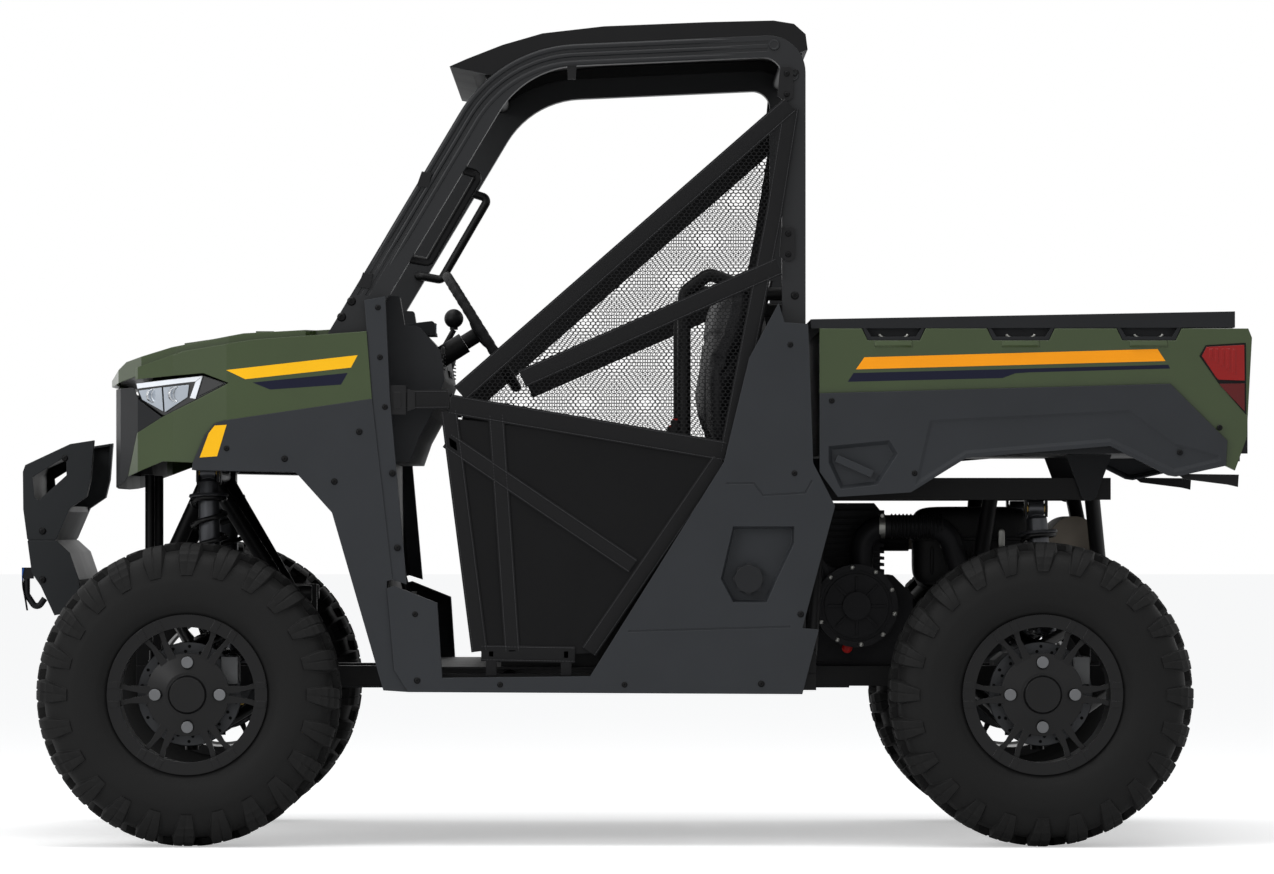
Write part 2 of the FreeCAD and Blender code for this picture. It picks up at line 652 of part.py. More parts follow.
def plan_band(points, recess, wall, z0, z1):
    """An upright wall that follows the plan of the nose."""
    outer = outline(both_sides(points), 0)
    shell = []
    for distance in (recess, recess + wall):
        wire = outer.makeOffset2D(-distance, 2) if distance else outer
        face = Part.Face(wire)
        face.translate(vec(0, 0, z0))
        shell.append(face.extrude(vec(0, 0, z1 - z0)))
    return shell[0].cut(shell[1])


def nose_panel():
    """The green side of the nose, from the crease down to the fender and the lamp."""
    side = CREASE + FENDER_TOP + [(1117, 929), (1207, 893), (1182, 998), (1117, 1037),
                                  (1035, 1077), (955, 1118), (1017, 1142), (1187, 1128)]
    band = plan_band(PLAN, 0, PANEL, 850, 1300)
    return band.common(plate_y(side, 0, 800))


def fender():
    """The grey fender: side skin, wheel-arch liner and the leg down to the sill."""
    arch = [(1044, 908), (794, 903), (706, 805), (582, 376)]
    front = [(x, z) for x, z in reversed(FENDER_TOP)]
    rear = [(609, 1080), (560, 643), (GUARD[2][0] + SEAM, 640), (GUARD[2][0] + SEAM, GUARD[2][1]),
            (GUARD[1][0] + SEAM, GUARD[1][1]), (GUARD[0][0] + SEAM, GUARD[0][1])]
    side = front + rear[1:] + arch[::-1]
    post = plate_y([(628, 1318), (578, 1327), (566, 1077), (526, 632), (560, 643), (609, 1080)],
                   CAGE_Y + SEAM, POST_Y)
    skin = plate_y(side, FENDER_Y - PANEL, FENDER_Y)
    liner = [(1044, 908), (794, 903), (706, 805), (586, 390),
             (580, 390), (701, 808), (791, 908), (1044, 913)]
    return fused([skin, post, plate_y(liner, FENDER_INNER_Y, FENDER_Y - 1)])


def fascia():
    """The front face between the lamps, with its grille opening and bars."""
    side = [(1300, 1108), (1190, 1108), (1178, 1079), (1119.3, 1036), (1182.5, 998.1),
            (1207.4, 893), (1216, 880), (1300, 850)]
    band = plan_band(PLAN, 0, PANEL, 840, 1120)
    face = band.common(plate_y(side, -800, 800))
    face = face.cut(block(1200, 1300, -330, 330, 905, 1085))
    pieces = [face]
    for z in (935, 980, 1025, 1065):
        pieces.append(plan_band(PLAN, 0, 14, z - 6, z + 6).common(
            block(1200, 1300, -335, 335, z - 6, z + 6)))
    for y in (-215, -80, 80, 215):
        pieces.append(block(1240, 1257, y - 5, y + 5, 900, 1090))
    hinge_x, hinge_z = HOOD_HINGE
    for side in (1, -1):
        pieces.append(disc_y(hinge_x, hinge_z, HOOD_PIN_RADIUS, side * 30, side * 130))
        for y in (30, 101):
            pieces.append(disc_y(hinge_x, hinge_z, HOOD_BARREL, side * y, side * (y + 29)))
            pieces.append(block(1253, hinge_x + 2, side * y, side * (y + 29), 1100, hinge_z))
    return fused(pieces)


def headlight():
    """The lamp unit in the corner of the nose."""
    side = [(1186, 1120), (1018, 1137), (960, 1117), (1036, 1078), (1115, 1039), (1175, 1079)]
    return plan_band(PLAN, 3, 60, 1000, 1150).common(plate_y(side, 200, 800))


def hood():
    """The lid over the front storage, hinged along its front edge."""
    top = [(1272, 1120), (1266, 1128), (1214, 1172), (1096, 1205), (920, 1238), (702, 1250)]
    low = [(702, 1212), (920, 1200), (1080, 1170), (1190, 1135), (1262, 1114)]
    solid = plate_y(top + low, -800, 800)
    plan = plate_z(both_sides(HOOD_PLAN), 1000, 1400)
    under = [(x, z - PANEL) for x, z in top[1:]]
    hollow = plate_y([(1255, 1090)] + under[1:-1] + [(706, 1245), (706, 1090)], -800, 800)
    inner_wire = outline(both_sides(HOOD_PLAN)).makeOffset2D(-PANEL, 2)
    inner = Part.Face(inner_wire).extrude(vec(0, 0, 1400))
    shell = solid.common(plan).cut(hollow.common(inner))
    scoop = plate_y([(1091, 1200), (1091, 1226), (920, 1251), (720, 1254), (720, 1244),
                     (920, 1233)], -250, 250)
    latch = block(880, 925, -30, 30, 1240, 1262)
    hinge_x, hinge_z = HOOD_HINGE
    whole = fused([shell, scoop, latch]).cut(disc_y(hinge_x, hinge_z, HOOD_BARREL + 4, -200, 200))
    leaves = [block(hinge_x - 6, hinge_x + 9, side * 62, side * 98, hinge_z, hinge_z + 10)
              for side in (1, -1)]
    barrels = [disc_y(hinge_x, hinge_z, HOOD_BARREL, side * 60, side * 100) for side in (1, -1)]
    bore = disc_y(hinge_x, hinge_z, HOOD_PIN_RADIUS + 0.05, -200, 200)
    return fused([whole] + leaves + barrels).cut(bore)


def front_tub():
    """The storage tub under the hood and the cowl in front of the dash."""
    wide = 300
    solid = plate_y([(1160, 1095), (1150, TUB_LOW_Z), (720, TUB_LOW_Z), (690, 1020), (690, 1205),
                     (1070, 1150)], -wide, wide)
    space = plate_y([(1180, 1120), (1145, TUB_LOW_Z + PANEL), (722, TUB_LOW_Z + PANEL), (695, 1021),
                     (695, 1260), (1070, 1260)], -wide + PANEL, wide - PANEL)
    rear = DASH_FRONT_X + SEAM
    cowl = plate_y([(690, 1020), (690, 1205), (676, 1238), (rear, 1238), (rear, 1228), (672, 1228),
                    (684, 1205), (684, 1020)], -CAB_HALF, CAB_HALF)
    return fused([solid.cut(space), cowl])


def save_nose():
    save("nose_panels", pair(nose_panel()))
    save("fenders", pair(fender()))
    save("fascia", [fascia()])
    save("headlights", pair(headlight()))
    save("hood", [hood()])
    save("front_tub", [front_tub()])
    save("radiator", [block(1168, 1196, -280, 280, RADIATOR_LOW_Z, 1070)])


# Bumper and winch

BUMPER_HALF = 350.0
BUMPER_WALL = 6.0
BUMPER_SIDE = [(1484, 906), (1478, 923), (1367, 975), (1309, 984), (1316, 891), (1327, 845),
               (1368, 817), (1402, 738), (1368, 707), (1345, 640), (1345, 588), (1374, 560),
               (1406, 552), (1440, 625), (1462, 657), (1483, 814)]


def bumper():
    """Bent plate: two cheeks, a front wrap with a winch mouth and a back plate."""
    solid = plate_y(BUMPER_SIDE, -BUMPER_HALF, BUMPER_HALF)
    hollow = inset(BUMPER_SIDE, BUMPER_WALL, -BUMPER_HALF + BUMPER_WALL, BUMPER_HALF - BUMPER_WALL)
    shell = solid.cut(hollow)
    window = [(1460, 893), (1377, 945), (1376, 898), (1444, 836), (1455, 842)]
    shell = shell.cut(plate_y(window, -400, 400))
    shell = shell.cut(block(1425, 1500, -150, 150, 600, 730))
    shell = shell.cut(block(1290, 1372, -310, 310, 800, 1000))
    skin = solid.cut(inset(BUMPER_SIDE, 1.5, -BUMPER_HALF + 1.5, BUMPER_HALF - 1.5))
    return shell.cut(skin.common(block(1300, 1500, -400, 400, 736, 740)))


def winch():
    """A drum winch on the back plate with its fairlead and hook."""
    drum = disc_y(1396, 650, 30, -150, 150)
    motor = disc_y(1396, 650, 38, -165, -60)
    gears = disc_y(1396, 650, 38, 60, 165)
    foot = block(1345 + BUMPER_WALL + SEAM, 1385, -120, 120, 612, 636)
    fairlead = plate_x([(-95, 610), (95, 610), (95, 690), (-95, 690)], 1440, 1452, 12)
    arms = [block(1396, 1441, side * 66, side * 78, 630, 670) for side in (1, -1)]
    line = rod((1405, 0, 655), (1490, 0, 655), 5)
    hook = bent_tube([(1503, 0, 648), (1503, 0, 600), (1478, 0, 562), (1458, 0, 590)], 8, 12)
    eye = block(1486, 1515, -9, 9, 640, 668)
    return fused([drum, motor, gears, foot, fairlead, line, hook, eye] + arms)


# Cab

CAGE_REAR_X = -438.0
CAGE_TOP_Z = 1963.0
ROOF_CROWN = 32.0
RAIL_DEPTH = 52.0
B_WIDTH = 57.0
RIB_DEPTH = 2.5
B_FOOT_Z = 440.0


def cage_outer():
    """The outer line of the cage seen from the side."""
    return [A_FOOT, A_TOP + (340,), (CAGE_REAR_X, CAGE_TOP_Z, 90), (CAGE_REAR_X, B_FOOT_Z)]


def cage_side():
    """One bent side of the cage: windscreen post, roof rail and rear post."""
    run = vec(A_TOP[0] - A_FOOT[0], A_TOP[1] - A_FOOT[1], 0).normalize()
    back_x = -run.y * A_WIDTH
    back_z = run.x * A_WIDTH
    rise = (CAGE_TOP_Z - A_TOP[1]) / (CAGE_REAR_X - A_TOP[0])
    foot = (A_FOOT[0] + back_x, A_FOOT[1] + back_z)
    low_x = A_TOP[0] + back_x + 6
    low_z = A_TOP[1] - RAIL_DEPTH + rise * (low_x - A_TOP[0])
    low_x = foot[0] + run.x * (low_z - foot[1]) / run.y
    inner_x = CAGE_REAR_X + B_WIDTH
    inner_z = A_TOP[1] - RAIL_DEPTH + rise * (inner_x - A_TOP[0])
    points = cage_outer() + [(inner_x, B_FOOT_Z), (inner_x, inner_z, 45), (low_x, low_z, 230), foot]
    frame = plate_y(points, CAGE_Y - CAGE_TUBE, CAGE_Y)
    field = block(CAGE_REAR_X + 90, A_FOOT[0] - 60, CAGE_Y - RIB_DEPTH, CAGE_Y + 1, 1330, CAGE_TOP_Z)
    for reach in (13, 30):
        outer = inset(cage_outer(), reach, CAGE_Y - RIB_DEPTH, CAGE_Y + 1)
        inner = inset(cage_outer(), reach + 8, CAGE_Y - RIB_DEPTH - 1, CAGE_Y + 2)
        frame = frame.cut(outer.cut(inner).common(field))
    return frame


def roof():
    """The moulded roof, seated on the cage rails, hollow underneath."""
    front_x, front_z = A_TOP
    crown = CAGE_TOP_Z + ROOF_CROWN
    rear_x = CAGE_REAR_X - 5
    top = [(front_x + 119, front_z - 46), (front_x + 78, front_z - 28), (front_x - 9, front_z + 6),
           (front_x - 106, front_z + 34), (front_x - 254, front_z + 51), (-197, crown - 4),
           (rear_x + 83, crown), (rear_x + 33, crown - 8), (rear_x + 5, crown - 33),
           (rear_x, crown - 70)]
    low = [(rear_x + 63, CAGE_TOP_Z - 63), (front_x - 54, front_z - 80), (front_x + 41, front_z - 62)]
    solid = plate_y(top + low, -CAGE_Y, CAGE_Y)
    under = [(x, z - 12) for x, z in top[2:7]]
    hollow = plate_y([(front_x + 72, front_z - 42)] + under
                     + [(rear_x + 39, crown - 19), (rear_x + 16, crown - 39), (rear_x + 12, crown - 70),
                        (rear_x + 12, crown - 115), (front_x + 46, front_z - 90)],
                     -CAGE_Y + CAGE_TUBE - SEAM, CAGE_Y - CAGE_TUBE + SEAM)
    seat = outline(cage_outer()).makeOffset2D(SEAM, 2)
    face = Part.Face(seat)
    face.rotate(vec(0, 0, 0), vec(1, 0, 0), 90)
    face.translate(vec(0, 900, 0))
    return solid.cut(hollow).cut(face.extrude(vec(0, -1800, 0)))


def cage_cross():
    """Tubes across the cab between the two sides of the cage."""
    rear_x = CAGE_REAR_X + 30
    spots = [(A_TOP[0] + 14, A_TOP[1] - 62), (rear_x, CAGE_TOP_Z - 38), (rear_x, 1300), (rear_x, 960)]
    y = CAGE_Y - CAGE_TUBE
    return [disc_y(x, z, 20, -y, y) for x, z in spots]


def floor():
    """The floor pan with its toe board."""
    y = CAB_HALF
    low = FLOOR_Z
    high = FLOOR_Z + FLOOR_THICK
    toe = DASH_FRONT_X - FLOOR_THICK
    top = DASH_LOW_Z - SEAM
    points = [(-228, low), (505, low), (578, 560), (DASH_FRONT_X, top), (toe, top), (572, 562),
              (501, high), (-228, high)]
    return plate_y(points, -y, y)


BACK_LINE = [(-240, 940), (-272, 1060), (-300, 1130), (-356, 1370)]


def seat_frame():
    """The bench base: an open-topped storage box, the firewall and the back plate."""
    y = SEAT_HALF - 5
    low = FLOOR_Z + FLOOR_THICK
    top = CUSHION_Z - SEAM
    solid = block(-246, 300, -y, y, low, top)
    spaces = [block(-240, 294, -y + 6, SEAT_SPLIT - 8, low + 6, top + 1),
              block(-240, 294, SEAT_SPLIT - 2, y - 6, low + 6, top + 1)]
    shell = solid
    for space in spaces:
        shell = shell.cut(space)
    front = [(-240, 800)] + BACK_LINE
    wall = plate_y(front + [(x - 6, z) for x, z in reversed(front)], -y, y)
    ties = []
    for side in (1, -1):
        for spot in (300, 520):
            ties.append(block(-388 + SEAM, -343, side * spot - 12, side * spot + 12, 1288, 1312))
    x, z = SEAT_HINGE
    pins = []
    for wall_y, reach in ((-y, 70), (SEAT_SPLIT - 2, -80)):
        inner = wall_y + math.copysign(6, reach)
        pins.append(disc_y(x, z, SEAT_PIN, wall_y, wall_y + reach))
        pins.append(disc_y(x, z, SEAT_PIN + 2, wall_y, inner))
        pins.append(block(x - SEAT_PIN, x + SEAT_PIN, wall_y, inner, z - 12, z))
    return fused([shell, wall] + ties + pins)


def seat_back(y0, y1):
    """One padded backrest."""
    points = [(-190, 968, 12), (-180, 1142, 60), (-245, 1289), (-272, 1388, 15),
              (-345, 1392, 12)]
    points += [(x + SEAM * 2, z) for x, z in reversed(BACK_LINE[1:])] + [(-246, 968)]
    return plate_y(points, y0, y1)


def seat_base(y0, y1):
    """One padded seat cushion."""
    points = [(CUSHION_REAR_X, CUSHION_Z), (CUSHION_FRONT_X - 20, CUSHION_Z, 20),
              (CUSHION_FRONT_X, CUSHION_TOP_Z - 20, 30), (CUSHION_FRONT_X - 50, CUSHION_TOP_Z, 40),
              (CUSHION_REAR_X, CUSHION_TOP_Z - 25, 20)]
    return plate_y(points, y0, y1)


def hinged_seat_base(y0, y1):
    """The passenger's cushion with the two hinge barrels under its rear edge."""
    x, z = SEAT_HINGE
    barrels = [disc_y(x, z, SEAT_BARREL, y, y + 30) for y in (y0 + 30, y1 - 60)]
    bore = disc_y(x, z, SEAT_PIN + 0.05, y0 - 1, y1 + 1)
    return fused([seat_base(y0, y1)] + barrels).cut(bore)


def hip_bar():
    """The bent bar beside the outer seat."""
    y = SEAT_HALF + 27
    end_z = 1320 + 16 + SEAM
    return bent_tube([(-145, y, 880), (-145, y, 1340), (-205, y, 1385), (-345, y, end_z),
                      (-425, y, end_z)], 16, 28)


def grab_handle():
    """The handle on the windscreen post."""
    y = 622
    wall = CAGE_Y - CAGE_TUBE - SEAM
    return bent_tube([(402, wall, 1640), (402, y, 1640), (352, y, 1625), (475, y, 1413),
                      (535, y, 1424), (535, wall, 1424)], 11, 13)


COLUMN_RADIUS = 26.0
LEVER_LOW = (470.0, 150.0, 1180.0)
LEVER_HIGH = (425.0, 150.0, 1262.0)
LEVER_RADIUS = 7.0


def column_line():
    """The two ends of the steering column below the wheel."""
    x, y, z = STEERING_WHEEL
    slope = math.radians(WHEEL_TILT)
    ends = []
    for reach in (50 + SEAM, 135):
        ends.append((x + math.cos(slope) * reach, y, z - math.sin(slope) * reach))
    return ends


def dashboard():
    """The moulded dash across the cab with the hood over the instruments."""
    points = [(DASH_FRONT_X, DASH_LOW_Z), (DASH_FRONT_X, 1232), (560, 1262, 15), (500, 1258, 15),
              (448, 1200, 20), (436, 1130, 15), (470, 1040, 15), (500, 985, 15), (520, DASH_LOW_Z)]
    body = plate_y(points, -CAB_HALF, CAB_HALF)
    binnacle = plate_y([(540, 1240), (536, 1268, 8), (466, 1276, 8), (462, 1240)], 280, 460)
    ears = [plate_y([(602, 1240), (598, 1333, 6), (545, 1330, 6), (530, 1240)],
                    side * 575, side * 640) for side in (1, -1)]
    whole = fused([body, binnacle] + ears)
    near, far = column_line()
    lever = rod(LEVER_LOW, LEVER_HIGH, LEVER_RADIUS + SEAM)
    return whole.cut(rod(near, far, COLUMN_RADIUS + SEAM)).cut(lever)


def controls():
    """The steering column, the pedals and the gear lever."""
    near, far = column_line()
    column = rod(near, far, COLUMN_RADIUS)
    lever = rod(LEVER_LOW, LEVER_HIGH, LEVER_RADIUS)
    grip = Part.makeSphere(24, vec(425, 150, 1290))
    stem = rod((425, 150, 1262), (425, 150, 1290), 10)
    pedals = []
    for spot, wide in ((400, 38), (290, 52)):
        arm = rod((566, spot, 716), (530, spot, 590), 8)
        pad = block(514, 526, spot - wide, spot + wide, 545, 610)
        pedals.append(fused([arm, pad]))
    return [column, fused([lever, stem, grip])] + pedals


def steering_wheel():
    """A three-spoke wheel, built flat and tilted onto its column."""
    x, y, z = STEERING_WHEEL
    ring = Part.makeTorus(STEERING_WHEEL_RADIUS - STEERING_RIM, STEERING_RIM)
    hub_pad = Part.makeCylinder(46, 36, vec(0, 0, -12))
    shaft = Part.makeCylinder(18, 60, vec(0, 0, -52 + 2))
    pieces = [ring, hub_pad, shaft]
    for turn in (90, 210, 330):
        spoke = block(30, STEERING_WHEEL_RADIUS - STEERING_RIM, -16, 16, -6, 6)
        spoke.rotate(vec(0, 0, 0), vec(0, 0, 1), turn)
        pieces.append(spoke)
    wheel = fused(pieces)
    wheel.rotate(vec(0, 0, 0), vec(0, 1, 0), -(90 - WHEEL_TILT))
    wheel.translate(vec(x, y, z))
    return wheel


def net():
    """The side net with its front strap and its two bottom straps."""
    points = [(561, 1115), (561, 1040), (440, 1040), (351, 450), (335, 450), (335, 408), (309, 408),
              (309, 450), (154, 450), (154, 410), (128, 410), (128, 450),
              (-25, 646), (-226, 928), (-236, 950), (-228, 1031), (-301, 1364), (-384, 1773),
              (-400, 1790), (409, 1100)]
    return plate_y(points, NET_Y, NET_Y + NET_THICK)


FUEL_CAP = (-300.0, 645.0, 40.0)
FUEL_POCKET = 28.0


def side_panel(filler):
    """The sill, its front guard and the rear quarter, with or without the fuel pocket."""
    points = GUARD + [(554, 628), (452, 587), (440, 406), (83, 410),
              (-240, 927), (-301, 1178), (-372, 1311), (-386, 1264), (-443, 1260),
              (-455, 925), (-508, 821), (-429, 526), (-469, 523), (-429, 367)]
    skin = plate_y(points, SIDE_Y - PANEL_DEPTH, SIDE_Y)
    skin = skin.cut(inset(points, PANEL, SIDE_Y - PANEL_DEPTH - 1, SIDE_Y - PANEL))
    edge = [(90, 424), (-227, 933), (-287, 1181), (-358, 1305)]
    seam = [(-240, 872), (-307, 872), (-329, 843), (-430, 849), (-447, 878)]
    crease = [(-3, 515), (-394, 526)]
    for line in (edge, seam, crease):
        skin = scored(skin, [(x - 6, z + 4) for x, z in line], SIDE_Y)
    if filler:
        x, z, radius = FUEL_CAP
        rim_line = [(-262, 772), (-410, 772), (-410, 732), (-368, 645), (-343, 588), (-262, 588),
                    (-232, 645)]
        skin = pressed(skin, rim_line, SIDE_Y, FUEL_POCKET, 6)
    return skin


def fuel_cap():
    """The lobed filler cap at the bottom of its pocket."""
    x, z, radius = FUEL_CAP
    y = SIDE_Y - FUEL_POCKET + SEAM
    body = disc_y(x, z, radius - 7, y, y + 26)
    for i in range(8):
        turn = math.pi * i / 4
        lobe_x = x + (radius - 11) * math.cos(turn)
        lobe_z = z + (radius - 11) * math.sin(turn)
        body = body.fuse(disc_y(lobe_x, lobe_z, 9, y + 4, y + 22))
    return body.removeSplitter()


def save_cab():
    save("cage_sides", pair(cage_side()))
    save("cage_cross", cage_cross())
    save("roof", [roof()])
    save("floor", [floor()])
    save("seat_frame", [seat_frame()])
    inner = SEAT_GAP / 2
    save("seat_backs", [seat_back(SEAT_SPLIT + inner, SEAT_HALF),
                        seat_back(-SEAT_HALF, SEAT_SPLIT - inner)])
    save("seat_base_driver", [seat_base(SEAT_SPLIT + inner, SEAT_HALF)])
    save("seat_base_passenger", [hinged_seat_base(-SEAT_HALF, SEAT_SPLIT - inner)])
    save("hip_bars", pair(hip_bar()))
    save("grab_handles", pair(grab_handle()))
    save("dashboard", [dashboard()])
    save("controls", controls())
    save("steering_wheel", [steering_wheel()])
    save("side_nets", pair(net()))
    save("side_panels", [side_panel(True), mirrored(side_panel(False))])


# Load bed

def bed_box():
    """The open bed tub with its cap rails and hinge ears."""
    top = BED_TOP_Z
    solid = block(BED_REAR_X, BED_FRONT_X, -BED_HALF, BED_HALF, BED_FLOOR_Z - 12, top)
    space = block(BED_REAR_X - 1, BED_FRONT_X - BED_WALL, -BED_HALF + BED_WALL,
                  BED_HALF - BED_WALL, BED_FLOOR_Z, top + 1)
    tub = solid.cut(space)
    pieces = [tub]
    cap = [(-450, 1250), (-450, 1272), (-1474, 1291), (-1474, 1252)]
    for side in (1, -1):
        pieces.append(plate_y(cap, side * 650, side * BED_SIDE_Y))
        for front_x, rear_x in POCKETS:
            tab = plate_y(pocket(front_x, rear_x, SEAM * 2), side * (BED_HALF - BED_WALL),
                          side * (BED_SIDE_Y - 2))
            hole = plate_y(pocket(front_x, rear_x, 9), side * (BED_SIDE_Y - 22),
                           side * (BED_SIDE_Y + 1))
            pieces.append(tab.cut(hole))
    pieces.append(block(-450, -520, -BED_SIDE_Y, BED_SIDE_Y, 1250, 1272))
    for side in (1, -1):
        pieces.append(block(BED_REAR_X + 1, -1507, side * (TAILGATE_HALF + MOVING_GAP + 1),
                            side * BED_HALF, BED_FLOOR_Z - 12, top))
        hinge_x, hinge_z = TAILGATE_HINGE
        pieces.append(disc_y(hinge_x, hinge_z, GATE_PIN_RADIUS, side * 368, side * 472))
        for y in (368, 464):
            pieces.append(block(hinge_x - 8, -1470, side * y, side * (y + 8), hinge_z - 9, hinge_z + 4))
            pieces.append(block(-1482, -1470, side * y, side * (y + 8), hinge_z - 9, BED_FLOOR_Z - 8))
    pivot_x, pivot_z = BED_PIVOT
    for side in (1, -1):
        y0 = side * (BED_RAIL_Y + 32)
        y1 = side * (BED_RAIL_Y + 40)
        pieces.append(plate_y([(pivot_x - 22, pivot_z), (pivot_x + 22, pivot_z),
                               (pivot_x + 60, BED_FLOOR_Z - 2), (pivot_x - 60, BED_FLOOR_Z - 2)],
                              y0, y1))
        pieces.append(disc_y(pivot_x, pivot_z, 22, y0, y1))
        pieces.append(disc_y(pivot_x, pivot_z, PIVOT_RADIUS, side * (BED_RAIL_Y - 30), y1))
    return fused(pieces)


def pocket(front_x, rear_x, inward):
    """A tie-down pocket in the top edge of the bed side, seen from the side."""
    return [(front_x - inward, BED_TOP_Z + 3), (rear_x + inward, BED_TOP_Z + 3),
            (rear_x + 14 + inward, POCKET_LOW_Z + inward), (front_x - 14 - inward, POCKET_LOW_Z + inward)]


def bed_side():
    """The green outer side of the bed."""
    top = BED_TOP_Z - SEAM
    notches = []
    for front_x, rear_x in reversed(POCKETS):
        notches += [(rear_x, top), (rear_x + 14, POCKET_LOW_Z), (front_x - 14, POCKET_LOW_Z),
                    (front_x, top)]
    points = [(-471, top), (-471, 1093), (-1317, 1116), (-1455, 978), (-1451, 918), (-1474, 907),
              (-1502, 985), (-1504, 1022), (-1515, 1227), (-1506, top)] + notches
    skin = plate_y(points, BED_HALF, BED_SIDE_Y)
    return skin.cut(inset(points, PANEL, BED_HALF - 1, BED_SIDE_Y - PANEL))


def bed_skirt():
    """The grey lower side of the bed, over the rear wheel."""
    points = [(-471, 1093), (-471, 903), (-515, 843), (-691, 854), (-825, 937), (-1172, 966),
              (-1313, 895), (-1332, 892), (-1451, 918), (-1455, 978), (-1317, 1116)]
    skin = plate_y(points, BED_HALF, SKIRT_Y)
    skin = skin.cut(inset(points, PANEL, BED_HALF - 1, SKIRT_Y - PANEL))
    facet = [(-737, 1029), (-1220, 1053), (-1330, 972), (-1436, 944), (-1440, 930), (-1326, 902),
             (-1172, 976), (-825, 947), (-700, 868)]
    skin = pressed(skin, facet, SKIRT_Y, 4, 8)
    latch = [(-492, 966), (-640, 980), (-660, 947), (-611, 872), (-522, 861), (-492, 925)]
    skin = pressed(skin, latch, SKIRT_Y, 16, 10)
    bar = ribbon([(-512, 936), (-598, 898)], 17)
    return fused([skin, plate_y(bar, SKIRT_Y - 18, SKIRT_Y + 3)])


def tail_lamp():
    """The wedge lamp at the rear corner of the bed."""
    points = [(-1403, 1209), (-1500, 1215), (-1501, 1041), (-1433, 1119), (-1388, 1183)]
    return plate_y(points, BED_HALF + SEAM, BED_SIDE_Y + 2)


def tailgate():
    """The drop gate between the bed sides."""
    x = BED_REAR_X - MOVING_GAP - 1
    points = [(x, 950), (x, 1246), (x - 24, 1246), (x - 24, 1215), (x - 20, 950)]
    gate = plate_y(points, -TAILGATE_HALF, TAILGATE_HALF)
    hinge_x, hinge_z = TAILGATE_HINGE
    barrels = [disc_y(hinge_x, hinge_z, 9, side * 380, side * 460) for side in (1, -1)]
    leaves = [block(hinge_x - 6, hinge_x + 6, side * 390, side * 450, hinge_z, 955) for side in (1, -1)]
    bore = disc_y(hinge_x, hinge_z, GATE_PIN_RADIUS + 0.05, -500, 500)
    return fused([gate] + barrels + leaves).cut(bore)


def save_bed():
    side = bed_side()
    lamp = tail_lamp()
    save("bed_box", [bed_box()])
    save("bed_sides", pair(side.cut(lamp)))
    save("bed_skirts", pair(bed_skirt()))
    save("tail_lamps", pair(lamp))
    save("tailgate", [tailgate()])


# Drive line

ENGINE_HALF = 165.0
CLUTCH = (-575.0, 575.0, 103.0)
CLUTCH_DRIVE = (-440.0, 640.0, 72.0)
MUFFLER = (-1120.0, 735.0, 62.0)
PIPE_Y = -110.0
PIPE_FRONT_X = -720.0


def engine():
    """The crankcase with its finned cylinder and the exhaust port."""
    case = plate_y([(PIPE_FRONT_X, FLOOR_Z), (-330, FLOOR_Z), (-330, 590), (-385, 650), (-670, 650),
                    (PIPE_FRONT_X, 600)], -ENGINE_HALF, ENGINE_HALF)
    cylinder = block(-650, -420, -128, 128, 640, 812)
    for z in range(664, 800, 16):
        groove = block(-660, -410, -140, 140, z, z + 8).cut(block(-640, -430, -118, 118, z, z + 8))
        cylinder = cylinder.cut(groove)
    head = plate_y([(-640, 812), (-625, 830), (-445, 830), (-430, 812)], -112, 112)
    port = rod((-600, PIPE_Y, MUFFLER[1]), (PIPE_FRONT_X, PIPE_Y, MUFFLER[1]), 26)
    return fused([case, cylinder, head, port])


def clutch_cover():
    """The round belt-drive covers on the engine's side and the air duct behind them."""
    x, z, radius = CLUTCH
    front_x, front_z, front_radius = CLUTCH_DRIVE
    face_y = 300
    web = plate_y(ribbon([(x, z), (front_x, front_z)], 120), ENGINE_HALF, 262)
    pieces = [disc_y(x, z, radius, ENGINE_HALF, face_y), disc_y(x, z, 35, face_y - 10, 318), web,
              disc_y(front_x, front_z, front_radius, ENGINE_HALF, 270),
              disc_y(front_x, front_z, 24, 260, 282)]
    for i in range(8):
        rib = block(x + 30, x + 72, face_y - 2, face_y + 6, z - 3, z + 3)
        rib.rotate(vec(x, 0, z), vec(0, 1, 0), 45 * i)
        pieces.append(rib)
    pieces.append(bent_tube([(x - 15, 235, z + 60), (x - 15, 235, 772), (-800, 235, 772),
                             (-838, 235, 655)], 28, 60))
    whole = fused(pieces)
    whole = whole.cut(ring_y(x, z, 88, 80, face_y - 5, face_y + 1))
    return whole.cut(ring_y(front_x, front_z, 60, 54, 265, 271))


def exhaust():
    """The muffler across the rear with its pipe from the engine."""
    x, z, radius = MUFFLER
    can = disc_y(x, z, radius, -185, 185)
    for groove_y in (-163, 155):
        can = can.cut(ring_y(x, z, radius + 1, radius - 4, groove_y, groove_y + 8))
    return fused([can, rod((x, PIPE_Y, z), (PIPE_FRONT_X - SEAM, PIPE_Y, z), 22)])


